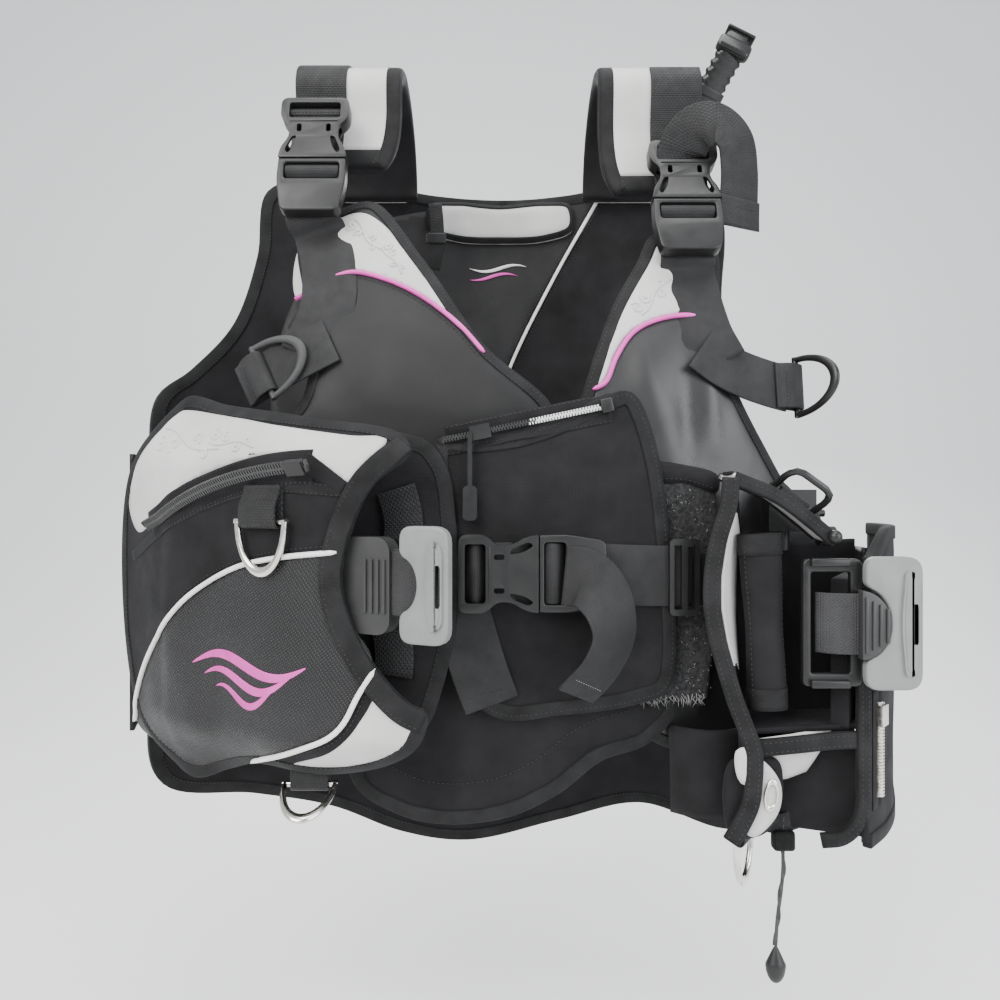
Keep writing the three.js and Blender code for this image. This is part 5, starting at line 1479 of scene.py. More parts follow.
def left_strap_tail():
    """The strap's loose end: out of the buckle's window, over to the side and down."""
    points = smooth_line(
        [(131, -67, -86), (131, -73, -74), (140, -78, -61), (155, -79, -58), (167, -78, -68), (171, -76, -88),
         (171, -75, -110), (170, -75, -130)],
        2,
    )
    n = len(points)
    t = np.linspace(0, 1, n)
    outs = unit(np.stack([0.55 * np.sin(t * 2.4), -np.ones(n), 0.35 * np.cos(t * 3)], 1))
    tail = ribbon_between("left_strap_tail_webbing", points, outs, 35, 1.9, WEBBING)
    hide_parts("left_strap_tail")
    end = points[-12:]
    double = end + outs[-12:] * 1.9
    ribbon_between("left_strap_tail_end", double, outs[-12:], 35, 1.6, WEBBING)
    d = points[-6] - points[-7]
    across = np.cross(d / np.linalg.norm(d), outs[-6])
    row = points[-9] + outs[-9] * 2.9 + np.linspace(-14, 14, 12)[:, None] * across
    stitch_row("left_strap_tail_stitches", row, np.tile(outs[-9], (12, 1)), 2.6, 1.8)


shoulder("right", -1, -74)
shoulder("left", 1, -96)
chest_webbing("right")
chest_webbing("left")
left_strap_tail()
for ring_side, ring_place, ring_finish in (
    ("right", CHEST_TAB["right"], PEBBLED),
    ("left", turned_about_bar(CHEST_TAB["left"], -88), BLACK_PLASTIC),
):
    ring_node = f"{ring_side}_chest_ring"
    bow_ring(f"{ring_side}_chest_d_ring", ring_node, ring_place, 44, 34, 4.4, ring_finish, ring_node)


# ---- Side-release buckles: modelled once and copied ----
def cut_away(obj, cutters):
    """Cuts shapes out of a piece and throws them away."""
    for cutter in cutters:
        cut = obj.modifiers.new("cut", "BOOLEAN")
        cut.operation = "DIFFERENCE"
        cut.solver = "EXACT"
        cut.object = cutter
        select_only(obj)
        bpy.ops.object.modifier_apply(modifier=cut.name)
        bpy.data.objects.remove(cutter)
    return obj


def round_edges(obj, width):
    soft = obj.modifiers.new("soft", "BEVEL")
    soft.width = width * MM
    soft.segments = 3
    soft.limit_method = "ANGLE"
    soft.angle_limit = math.radians(40)
    select_only(obj)
    bpy.ops.object.modifier_apply(modifier="soft")
    return obj


def mirrored(corners):
    """Corners of the right half, from the top down, with their mirror images."""
    return corners + [(-x, z, r) for x, z, r in reversed(corners)]


def buckle_female():
    here = Matrix.Identity(4)
    half = [(24.5, 0, 6), (24.5, -17, 5), (17.5, -24, 4), (17.5, -34, 5), (23, -41, 6), (24.3, -50, 1)]
    body = slab(rounded(mirrored(half)), 11, here, 0)
    cutters = [block((37, 40, 13), (0, -5.5, -10.5), 2.0, 3), block((38, 6.4, 31), (0, -5.5, -36.5), 0)]
    ahead = turned(0, -6, 0)
    for sign in (-1, 1):
        cutters.append(block((3.4, 12, 6.6), (10.5 * sign, -9, -25.5), 1.4, 4))
        crescent = [(12, -32, 1.6), (15.4, -33, 1.6), (20, -44, 2), (17.6, -47, 1.6), (13.4, -41, 4)]
        cutters.append(slab(rounded([(x * sign, z, r) for x, z, r in crescent]), 10, ahead, 0))
    cut_away(body, cutters)
    round_edges(body, 0.9)
    bar = block((38, 3.2, 4.4), (0, -4.4, -10.5), 1.2, 3)
    ridge = block((34, 1.2, 1.2), (0, -11, -19.6), 0.5, 2)
    return settle(join_pieces([body, bar, ridge]), "buckle_female_master", BLACK_PLASTIC, angle=40)


def buckle_male():
    here = turned(0, -0.5, 0)
    base = slab(rounded(mirrored([(24, -50.5, 1.5), (24.5, -68, 6), (20.5, -92.5, 5)])), 10, here, 0)
    cut_away(base, [block((39, 40, 13.5), (0, -5.5, -60.4), 2.0, 3)])
    round_edges(base, 1.0)
    pieces = [base, block((40, 4.2, 5), (0, -4.2, -59), 1.5, 3), block((8, 5, 28), (0, -5.5, -38), 1.2, 2)]
    for sign in (-1, 1):
        arm = [
            (10, -52, 0), (14.5, -52, 0), (19, -42, 3), (24.2, -38, 3), (25.2, -31, 5), (22.6, -24.5, 4),
            (18.6, -25.5, 2), (18.4, -34, 3), (13, -42, 3),
        ]
        prong = slab(rounded([(x * sign, z, r) for x, z, r in arm]), 5.4, turned(0, -2.8, 0), 0)
        eye = [(21.8 * sign + 1.9 * math.cos(a), -31 + 4.2 * math.sin(a)) for a in np.linspace(0, 6.0, 16)]
        cut_away(prong, [slab(eye, 20, turned(0, 4, 0), 0)])
        pieces.append(round_edges(prong, 0.7))
    return settle(join_pieces(pieces), "buckle_male_master", BLACK_PLASTIC, angle=40)


def copy_to(master, matrix, name, node, body):
    copied = bpy.data.objects.new(name, master.data.copy())
    copied.data.name = name
    copied.data.transform(matrix)
    bpy.context.scene.collection.objects.link(copied)
    finish_piece(copied, BLACK_PLASTIC, body, smooth=False)
    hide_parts(node)


WAIST_Z = -371
WAIST_LEFT = -26
WAIST_PLACE = turned(
    WAIST_LEFT, depth_at(front, 0.0, WAIST_Z) - 20.5, WAIST_Z, 0, -math.pi / 2
)


def side_release_buckles():
    female, male = buckle_female(), buckle_male()
    places = {
        "right_shoulder_buckle": (buckle_place("right"), "right_buckle_male"),
        "left_shoulder_buckle": (buckle_place("left"), "left_buckle_male"),
        "waist_buckle": (WAIST_PLACE, "waist_buckle_male"),
    }
    for name, (place, body) in places.items():
        copy_to(female, place, f"{name}_socket", f"{name}_female", "vest")
        copy_to(male, place, f"{name}_prongs", f"{name}_male", body)
    bpy.data.objects.remove(female)
    bpy.data.objects.remove(male)


# ---- Waist strap ----
def waist_strap():
    line = straight_line([(36, -371), (80, -373), (124, -374.5)], 4)
    surface = raised(front, -18.9)
    points = laid_on(surface, line)
    web = ribbon_between("waist_strap", points, normals_of(front, line), 39, 1.8, WAIST_WEBBING)
    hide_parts("waist_webbing")
    tab_line = straight_line([(112, -374.5), (146, -376)], 3)
    tab_points = np.stack([tab_line[:, 0], front(tab_line[:, 0], tab_line[:, 1]) - 15.5, tab_line[:, 1]], 1)
    ribbon_between("waist_strap_anchor", tab_points, normals_of(front, tab_line), 32, 1.8, WAIST_WEBBING)
    y = depth_at(front, 0.0, WAIST_Z) - 20.5
    place = WAIST_PLACE
    local_ribbon(
        "waist_strap_loop", place,
        [(2.0, -76), (1.0, -68), (-4.0, -65), (-9.4, -59), (-5, -53.3), (1.0, -52.8), (1.8, -58)],
        38, 1.8, WAIST_WEBBING, "waist_buckle_male",
    )
    local_ribbon(
        "waist_fixed_strap", place,
        [(1.8, 6), (1.2, -1), (-4, -5.5), (-8.4, -10.5), (-4, -15.5), (1.4, -19), (1.6, -34)],
        38, 1.8, WAIST_WEBBING,
    )
    tail_points = smooth_line(
        [(40, y - 9.5, -372), (54, y - 13, -374), (66, y - 17, -388), (70, y - 19, -408), (62, y - 18, -428),
         (47, y - 14, -446)],
        2,
    )
    n = len(tail_points)
    t = np.linspace(0, 1, n)
    outs = unit(np.stack([0.9 * np.sin(t * 1.9), -np.ones(n), -0.3 * t], 1))
    body = "waist_buckle_male"
    tail = ribbon_between("waist_strap_tail_webbing", tail_points, outs, 37, 1.8, WAIST_WEBBING, body)
    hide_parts("waist_strap_tail")
    d = tail_points[-4] - tail_points[-5]
    across = np.cross(d / np.linalg.norm(d), outs[-5])
    row = tail_points[-6] + outs[-6] * 1.1 + np.linspace(-16, 16, 14)[:, None] * across
    stitch_row("waist_tail_stitches", row, np.tile(outs[-6], (14, 1)), 2.6, 1.8, PALE_THREAD, body)
    hard("waist_adjuster", BLACK_PLASTIC, 0.6)
    stray = smooth_line([(-25, -392), (-20, -411), (-13, -434), (-5, -456)], 2)
    lift = raised(front, -16.5)
    stray_points = laid_on(lift, stray)
    stray_points[:, 1] -= 3 * np.sin(np.linspace(0, 3.0, len(stray)))
    stray_outs = normals_of(front, stray)
    ribbon_between("waist_strap_short_tail", stray_points, stray_outs, 36, 1.8, WAIST_WEBBING)
    hem = np.linspace(-14, 14, 12)[:, None] * np.array([1.0, 0, 0.3])
    row = stray_points[-5] + stray_outs[-5] * 1.1 + hem
    stitch_row("short_tail_stitches", row, np.tile(stray_outs[-5], (12, 1)), 2.6, 1.8)


waist_strap()
side_release_buckles()


# ---- Right pocket ----
POCKET_BACK_EDGE = [
    [-221, -253], [-190, -260], [-121, -273], [-60, -284], [-46, -289], [-34, -306], [-29, -340], [-27, -374],
    [-30, -410], [-38, -446], [-48, -470], [-70, -487], [-104, -496], [-154, -495], [-186, -508], [-216, -518],
    [-241, -500], [-256, -462], [-264, -394], [-260, -311], [-243, -276],
]
POCKET_OPENING = [
    [-54, -296], [-78, -318], [-92, -348], [-96, -373], [-90, -398], [-76, -424], [-56, -446], [-44, -452],
]
# The cover follows the back sheet's edge, from its low corner round to its top.
POCKET_COVER_EDGE = (
    POCKET_OPENING + [[-50, -472]] + POCKET_BACK_EDGE[11:] + POCKET_BACK_EDGE[:3] + [[-62, -284]]
)
UPPER_PIPING = [[-254, -486], [-247, -453], [-231, -417], [-205, -389], [-167, -368], [-134, -360], [-97, -356]]
LOWER_PIPING = [[-74, -425], [-84, -441], [-93, -458], [-101, -466], [-121, -475], [-160, -493]]


SIDE_START = -230
SIDE_STRETCH = 1.5


def stretched(line):
    """Moves the points past SIDE_START further out, round the wearer's side."""
    line = np.array(line, float)
    far = line[:, 0] < SIDE_START
    line[far, 0] = SIDE_START + (line[far, 0] - SIDE_START) * SIDE_STRETCH
    return line


def fuller(surface):
    """The surface that goes with stretched outlines."""
    def at(x, z):
        x = np.asarray(x, float)
        return surface(np.where(x < SIDE_START, SIDE_START + (x - SIDE_START) / SIDE_STRETCH, x), z)
    return at


def right_pocket():
    outline = smooth_line(stretched(POCKET_BACK_EDGE), 6, closed=True)
    behind = Skin(outline, fuller(pocket_back), -3.0, 0, rim=5, edge=0.6, crease=0.4, grain=40, seed=20)
    back_sheet = panel("right_pocket_back_sheet", behind, CLOTH, 7)
    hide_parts("right_pocket_back")
    binding("right_pocket_back_binding", behind, 10, over=0.3, rows=1)
    cover_outline = smooth_line(stretched(POCKET_COVER_EDGE), 5, closed=True)
    folds = [
        (-214, -420, -200, -486, 13, 2.6), (-190, -430, -178, -490, 9, -1.8), (-150, -390, -170, -450, 20, 1.6),
        (-120, -380, -108, -450, 16, 1.4), (-120, -330, -104, -352, 5, 1.4), (-110, -326, -98, -344, 4, -1.2),
        (-230, -380, -240, -440, 14, 1.6),
    ]
    skin = Skin(
        cover_outline, fuller(pocket_front), -4, 0, rim=8, edge=0.55, folds=folds, crease=1.5, grain=46, seed=21
    )
    cover = panel("right_pocket_cover_shell", skin, CLOTH, 4.5)
    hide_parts("right_pocket_cover")
    pocket_faces(skin)
    binding("right_pocket_cover_binding", skin, 9)
    opening = smooth_line(POCKET_OPENING, 4)
    line = inset(opening, -5.2) if inside(inset(opening, -5.2)[4:5], skin.outline)[0] else inset(opening, 5.2)
    tape("pocket_opening_binding", skin, line, 13.5, 1.9, -4.5)
    for k, away in enumerate((-4.2, 4.2)):
        stitches(f"pocket_opening_stitches_{k + 1}", skin, inset(line, away), 2.1)
    return skin


def pocket_faces(skin):
    """The cover's silver band, ballistic panel, corner patch, pipings and tapes."""
    band = smooth_line(
        stretched([
            [-248, -284], [-232, -263], [-190, -267], [-140, -278], [-90, -286], [-68, -288], [-75, -302],
            [-87, -316], [-102, -308], [-120, -300], [-146, -298], [-172, -303], [-203, -314], [-230, -332],
            [-250, -348], [-258, -330], [-256, -304],
        ]),
        4, closed=True,
    )
    band_skin = Skin(band, skin, -0.7, 0.3, rim=2.5, edge=0.5, crease=0.8, grain=34, seed=23)
    panel("pocket_silver_band", band_skin, SILVER, 4)
    scrolls("pocket_scroll", band_skin, (-215, -285), 0.85, -0.32, mirror=-1)
    scrolls("pocket_scroll_tail", band_skin, (-176, -287), 0.55, -0.12, mirror=1)
    ballistic = smooth_line(
        stretched(
            UPPER_PIPING + [[-95, -373], [-89, -398], [-76, -420]] + LOWER_PIPING[1:]
            + [[-188, -504], [-216, -515], [-240, -500]]
        ),
        4, closed=True,
    )
    ballistic_skin = Skin(ballistic, skin, -0.7, 0.3, rim=2.5, edge=0.5, seed=24)
    panel("pocket_ballistic_panel", ballistic_skin, BALLISTIC, 4)
    patch = smooth_line(
        [[-69, -436], [-57, -444], [-47, -453], [-50, -466], [-64, -478], [-88, -487], [-128, -489], [-104, -478],
         [-90, -466], [-80, -452]],
        3, closed=True,
    )
    patch_skin = Skin(patch, skin, -0.7, 0.3, rim=2.5, edge=0.5, crease=0.6, grain=20, seed=25)
    panel("pocket_corner_patch", patch_skin, SILVER, 3)
    for name, line in (("upper", UPPER_PIPING), ("lower", LOWER_PIPING)):
        smooth = smooth_line(stretched(line), 4)
        piping(f"pocket_{name}_piping", skin, smooth, 1.7, 1.4, WHITE)
        stitches(f"pocket_{name}_piping_stitches", skin, inset(smooth, 4), 0.5)
    wave_strokes(ballistic_skin)
    seam = [[-255, -366], [-228, -344], [-200, -331], [-164, -320], [-132, -317], [-92, -320]]
    under = smooth_line(stretched(seam), 4)
    tape("pocket_seam_tape", skin, under, 8, 0.7, -0.4)
    stitches("pocket_seam_stitches_1", skin, inset(under, 2.8), 0.8)
    stitches("pocket_seam_stitches_2", skin, inset(under, -2.8), 0.8)
    corner = straight_line([[-118, -302], [-106, -309], [-92, -318]], 3)
    tape("pocket_zip_corner", skin, corner, 15, 1.2, -0.4, CLOTH, widths=np.linspace(0.9, 0.5, len(corner)))


def wave_strokes(surface):
    """A plain pink mark: three tapering waves over each other."""
    for k in range(3):
        x = np.linspace(-200 + 9 * k, -116 - 10 * k, 48)
        t = np.linspace(0, 1, len(x))
        z = -428 - 9.5 * k + 6.5 * np.sin(t * 2 * math.pi + 0.5 * k) + 5 * (t - 0.5)
        widths = 0.12 + np.sin(t * math.pi) ** 0.8
        tape(f"pocket_wave_{k + 1}", surface, np.stack([x, z], 1), 6.2 - k, 0.4, -0.2, PINK, widths=widths)


def zip_arc():
    """The pocket zip's arc: its centre, axis, first radius and sweep, in millimetres."""
    ends = []
    for x, z in ((-112, -305), (-178, -315), (-238, -343)):
        y = depth_at(pocket_front, x, z) - 4 - FIT
        ends.append(Vector((x, y, z)))
    a, b = ends[1] - ends[0], ends[2] - ends[0]
    cross = a.cross(b)
    to_centre = cross.cross(a) * b.length_squared + b.cross(cross) * a.length_squared
    centre = ends[0] + to_centre / (2 * cross.length_squared)
    axis = cross.normalized()
    start = ends[0] - centre
    total = start.angle(ends[2] - centre)
    return centre, axis, start, total


def pocket_zip(skin):
    low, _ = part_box("right_pocket_zipper")
    centre, axis, start, total = zip_arc()
    turns = [Matrix.Rotation(total * t, 3, axis) for t in np.linspace(0, 1, 60)]
    points = np.array([list(centre + turn @ start) for turn in turns])
    points[:, 1] += low.y / MM + 1.2 - points[:, 1].min()
    points = stretched(points)
    outs = np.tile(list(axis * (-1 if axis.y > 0 else 1)), (len(points), 1))
    row = teeth("pocket_zip_teeth", points, outs, TEETH, 5.0, 2.4, 2.1)
    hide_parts("right_pocket_zipper")
    flat = points[:, [0, 2]]
    for k, away in enumerate((-6.4, 6.4)):
        line = inset(flat, away)
        tape(f"pocket_zip_tape_{k + 1}", skin, line, 8.5, 0.9, -0.3, CLOTH)
        stitches(f"pocket_zip_stitches_{k + 1}", skin, inset(line, 2.9 if away > 0 else -2.9), 1.0)


POCKET_SKIN = right_pocket()
pocket_zip(POCKET_SKIN)
POCKET_TAB = place_on(pocket_front, 4 + tab_depth(4) - SEWN, -142, -338, 0)
LOWER_RIGHT_TAB = turned(-121, depth_at(pocket_back, -121.0, -490.0) - 4 - tab_depth(4) + SEWN, -506)
bow_ring("pocket_d_ring", "pocket_ring", POCKET_TAB, 43, 33, 4, STEEL, "pocket_ring")
ring_loop("pocket_ring_tab", POCKET_TAB, 30, 4, 22)
bow_ring("right_lower_d_ring", "right_lower_ring", turned_about_bar(LOWER_RIGHT_TAB, -66), 36, 31, 4, STEEL,
         "right_lower_ring")
ring_loop("right_lower_ring_tab", LOWER_RIGHT_TAB, 24, 4, 22)


# ---- Thin sheets bent through space, and thick shapes cut from a plate ----
def bent_sheet(name, grid, thickness, finish, crease=0.8, grain=26, seed=1):
    """A sheet of even thickness through a grid of points, slightly rumpled away from its edges."""
    g = np.asarray(grid, float)
    rows, columns = g.shape[:2]
    down, across = np.gradient(g, axis=0), np.gradient(g, axis=1)
    n = np.cross(across, down)
    n /= np.maximum(np.linalg.norm(n, axis=2), 1e-9)[:, :, None]
    u = np.minimum(np.arange(rows), np.arange(rows)[::-1])[:, None]
    v = np.minimum(np.arange(columns), np.arange(columns)[::-1])[None, :]
    free = ease(np.minimum(u, v) / 3.0)
    rumple = ripple(g[:, :, 0].ravel() + g[:, :, 1].ravel(), g[:, :, 2].ravel(), grain, seed=seed)
    g = g + n * (rumple.reshape(rows, columns) * crease * free)[:, :, None]
    sides = [g + n * thickness / 2, g - n * thickness / 2]
    points = np.concatenate([s.reshape(-1, 3) for s in sides])
    count = rows * columns
    at = lambda i, j, k=0: k * count + i * columns + j
    faces = []
    for i in range(rows - 1):
        for j in range(columns - 1):
            faces.append((at(i, j), at(i, j + 1), at(i + 1, j + 1), at(i + 1, j)))
            faces.append((at(i, j, 1), at(i + 1, j, 1), at(i + 1, j + 1, 1), at(i, j + 1, 1)))
    rim = [(0, j) for j in range(columns)] + [(i, columns - 1) for i in range(1, rows)]
    rim += [(rows - 1, j) for j in range(columns - 2, -1, -1)] + [(i, 0) for i in range(rows - 2, 0, -1)]
    for (a, b), (c, d) in zip(rim, rim[1:] + rim[:1]):
        faces.append((at(a, b), at(a, b, 1), at(c, d, 1), at(c, d)))
    run = lambda axis: np.concatenate(
        [np.zeros((1, columns)) if axis == 0 else np.zeros((rows, 1)),
         np.cumsum(np.linalg.norm(np.diff(g, axis=axis), axis=2), axis=axis)], axis=axis)
    uv = np.stack([run(1), run(0)], 2).reshape(-1, 2) * MM
    sheet = mesh_piece(name, points, faces, finish, uvs=np.concatenate([uv, uv]))
    return outward(sheet)


def wall_grid(line, top, foot):
    """Points of an upright wall along a line of [x, y] points. top and foot give Z along it."""
    step = 5.0
    plan = smooth_line(line, step)
    run = distances_along(plan)
    rows = int(abs(foot(0.0) - top(0.0)) / step) + 2
    t = np.linspace(0, 1, rows)[:, None]
    high = np.array([top(r) for r in run])[None, :]
    low = np.array([foot(r) for r in run])[None, :]
    z = high + (low - high) * t
    x = np.tile(plan[:, 0], (rows, 1))
    y = np.tile(plan[:, 1], (rows, 1))
    return np.stack([x, y, z], 2)


def edge_binding(name, points, outs, width, thick, rows=(0.0,)):
    """A folded tape over a free edge, flat towards outs, with its stitching."""
    p = smooth_line(points, 3)
    n = np.tile(np.asarray(outs, float), (len(p), 1)) if np.ndim(outs) == 1 else outs
    rumple = ripple(p[:, 0], p[:, 2], 14, seed=int(abs(p[0, 0])))
    p = p + n * 0.35 * rumple[:, None]
    sweep(name, p, n, flat_section(width, thick / 2, -thick / 2, 1.3), TAPE)
    tangent = np.gradient(p, axis=0)
    across = np.cross(tangent, n)
    across /= np.linalg.norm(across, axis=1)[:, None]
    for k, away in enumerate(rows):
        stitch_row(f"{name}_stitches_{k + 1}", p + across * away + n * (thick / 2 + 0.1), n)


def grab_handle(name, node, matrix, half_width, half_height, recess, body):
    """A grey pull handle with a round recess at its left, a raised outline and a webbing slot."""
    w, h = half_width, half_height
    arc = [(-w + recess * 0.72 * math.cos(a), recess * math.sin(a)) for a in np.linspace(1.3, -1.3, 19)]
    outline = rounded(
        [(w, -h, 10), (w, h, 10), (-w, h, 8), (-w, recess + 2, 3)] + [(x, z, 0) for x, z in arc]
        + [(-w, -recess - 2, 3), (-w, -h, 8)]
    )
    base = slab(outline, 7, matrix, 1.5, 4)
    settle(base, name, GREY_PLASTIC, body, angle=40)
    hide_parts(node)
    rim = rounded(
        [(w - 3, -h + 11, 5), (w - 3, h - 11, 5), (w - 11, h - 7, 5), (w - 14, 0, 12), (w - 11, -h + 7, 5)]
    )
    raised_rim = slab(rim, 8.6, matrix, 1.0, 3)
    settle(raised_rim, f"{name}_raised_outline", GREY_PLASTIC, body, angle=40)
    inner = [(x + (w - 8 - x) * 0.3, z * 0.9) for x, z in rim]
    face = slab(inner, 8.9, matrix, 0.4, 2)
    settle(face, f"{name}_face", GREY_PLASTIC, body, angle=40)
    slot_outline = rounded([(w - 7, -12, 2), (w - 4, -12, 2), (w - 4, 12, 2), (w - 7, 12, 2)])
    slot = slab(slot_outline, 9.1, matrix, 0.2, 2)
    settle(slot, f"{name}_slot", BLACK_PLASTIC, body, angle=40)


# ---- Right weight pull ----
def pouch_frame():
    low, high = box_mm("right_weight_pouch")
    grip_low, grip_high = box_mm("right_weight_grip")
    turn = math.atan2(-(high.y - low.y - 10.0), high.x - low.x - 4.6)
    return turned(grip_low.x, grip_high.y - 5.2, -374, 0, 0, turn)


def right_weight():
    body = "right_weights"
    place = pouch_frame()
    hard("right_weight_pouch", CLOTH, 2.5, 4)
    hard("right_weight_grip", GRIP_RUBBER, 1.0, 3)
    path = [(38, -1.2), (46, -3.2), (56, -4.4), (66, -3.6)]
    line = smooth_line(path, 2)
    points = in_place(place, [(x, y, 0) for x, y in line])
    d = np.gradient(line, axis=0)
    outs = directions(place, [(b, -a, 0) for a, b in d])
    ribbon_between("right_pull_webbing", points, outs, 38, 1.8, PULL_WEBBING, body)
    grab_handle("right_pull_handle", "right_weight_handle", place @ turned(63, -1.8, 0), 16, 34, 16, body)
    # Two loops of webbing inside the pocket's mouth.
    for k, (x, z0, z1) in enumerate(((-66, -318, -352), (-72, -396, -436))):
        zs = np.linspace(z0, z1, 14)
        xs = x + 5 * np.sin(np.linspace(0, 2.2, 14))
        y = pocket_back(xs, zs) - 5.6
        outs = normals_of(pocket_back, np.stack([xs, zs], 1))
        ribbon_between(f"pocket_inner_strap_{k + 1}", np.stack([xs, y, zs], 1), outs, 25, 1.8, WEBBING)
    shelf = np.array([[x, depth_at(pocket_back, x, -402.0) - 8, -402 - 0.1 * (x + 60)]
                      for x in np.linspace(-84, -36, 12)])
    edge_binding("pocket_inner_edge", shelf, (0, -1, 0), 9, 2.4)


# ---- Left pocket, standing open ----
MOUTH_Y = -154
WALL_HALF = 2


def seam_line():
    on_front = lambda x, gap: depth_at(front, x, -400.0) - FIT - WALL_HALF - gap
    line = [[138, MOUTH_Y], [146, -138], [160, -117], [176, on_front(176, 2)]]
    return line + [[x, on_front(x, 0.5)] for x in (192, 208, 224, 240, 254, 266)]


def left_pocket():
    top = lambda r: -313 - 41 * float(ease((r - 12) / 34))
    foot = lambda r: -536 + 36 * float(ease((r - 40) / 60))
    grid = wall_grid(seam_line(), top, foot)
    mouth = [
        (142, -311), (140.5, -328), (134, -350), (130.5, -372), (130.5, -392), (134, -412), (139, -430),
        (144.5, -448), (151, -465), (156, -480), (156, -497), (154, -512), (148, -525), (142, -535),
    ]
    mouth_x = np.interp(-grid[:, 0, 2], [-z for _, z in mouth], [x for x, _ in mouth]) + 3
    shift = (mouth_x - grid[:, 0, 0])[:, None]
    near = np.clip(1 - (grid[:, :, 1] - MOUTH_Y) / 38, 0, 1) ** 1.3
    grid[:, :, 0] += shift * near
    inner = bent_sheet("left_pocket_inner", grid, 3.6, CLOTH, crease=1.2, seed=31)
    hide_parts("left_pocket_inner_wall")
    lining = grid.copy()
    lining[:, :, 0] += 2.6
    lining[:, :, 1] -= 0.6
    bent_sheet("left_pocket_lining", lining[4:-22, :7], 1.0, SILVER, crease=0.3, seed=32)
    points = [(x, MOUTH_Y - 0.5, z) for x, z in mouth]
    edge_binding("left_pocket_mouth_binding", points, (-0.25, -1, 0), 10.5, 4.6, rows=(-2.8, 2.8))
    # The floor and its bound front bar.
    floor_rows = []
    for t in np.linspace(0, 1, 9):
        left_end = np.array([150 + 18 * t, -147 + 44 * t, -470.0])
        right_end = np.array([226 + 44 * t, -150 + 52 * t, -468.0 + 3 * (1 - t)])
        floor_rows.append([left_end + (right_end - left_end) * s for s in np.linspace(0, 1, 14)])
    bent_sheet("left_pocket_floor", floor_rows, 3.4, CLOTH, crease=0.7, seed=33)
    bar = [(159, -151, -478.5), (172, -152.5, -477), (190, -153, -475), (206, -153, -473.4), (221, -153, -472.8)]
    edge_binding("left_pocket_floor_binding", bar, (0, -1, 0), 10.5, 4.0, rows=(-3.0, 3.0))
    # The grey lining that swells below the floor, and the dark bag bottom behind it.
    swell = []
    for z in np.linspace(-474, -501, 10):
        t = (z + 474) / -27
        row = []
        for x in np.linspace(161, 208, 14):
            s = (x - 161) / 47
            y = -149 + 5 * abs(s - 0.45) + 8 * t ** 2
            row.append((x - 14 * t * s, y, z + 8 * s * (1 - t) + 10 * t * max(0.0, s - 0.6)))
        swell.append(row)
    bent_sheet("left_pocket_swollen_lining", swell, 1.4, SILVER, crease=1.4, grain=13, seed=34)
    bag = []
    for z in np.linspace(-474, -536, 14):
        t = (z + 474) / -62
        bag.append([(x + 4 * t, -112 - 18 * math.sin(math.pi * min(1, (x - 108) / 62)) + 12 * t * t, z)
                    for x in np.linspace(112, 168, 12)])
    bent_sheet("left_pocket_bag_bottom", bag, 2.2, CLOTH, crease=2.2, grain=20, seed=35)
    corner_flap()


def flat_patch(name, outline, y, thick, finish, crease, seed):
    """A small sewn patch facing the front."""
    plan = smooth_line(outline, 3, closed=True)
    surface = lambda x, z: y + 0 * np.asarray(x, float)
    skin = Skin(plan, surface, -thick, 0, rim=2.2, edge=0.5, crease=crease, grain=15, seed=seed)
    panel(name, skin, finish, 3)


def corner_flap():
    """The doubled corner below the pocket's mouth: silver, bound, with an eyelet."""
    outline = [[143, -488], [172, -486], [176, -500], [174, -516], [165, -532], [144, -534]]
    flat_patch("left_corner_backing", outline, MOUTH_Y + 6.5, 3.2, CLOTH, 0.4, 41)
    flat_patch(
        "left_corner_silver",
        [[158, -484], [166, -489], [173, -500], [173, -514], [167, -525], [156, -533], [149, -527], [152, -505]],
        MOUTH_Y + 1.8, 1.6, SILVER, 0.5, 42,
    )
    flat_patch(
        "left_lining_sliver", [[145, -479], [153, -477], [155, -490], [150, -500], [146, -496]],
        MOUTH_Y - 0.6, 1.0, SILVER, 0.2, 43,
    )
    place = turned(166.8, MOUTH_Y + 0.1, -506.7, 0, math.radians(8))
    bpy.ops.object.select_all(action="DESELECT")
    bpy.ops.mesh.primitive_torus_add(
        major_segments=40, minor_segments=12, major_radius=0.0062, minor_radius=0.0016,
        rotation=(math.pi / 2, 0, 0),
    )
    ring = bpy.context.object
    bpy.ops.object.transform_apply(location=True, rotation=True, scale=True)
    for v in ring.data.vertices:
        v.co.x *= 0.62
        v.co.z *= 1.35
    ring.data.transform(place)
    settle(ring, "left_corner_eyelet", STEEL, angle=60)


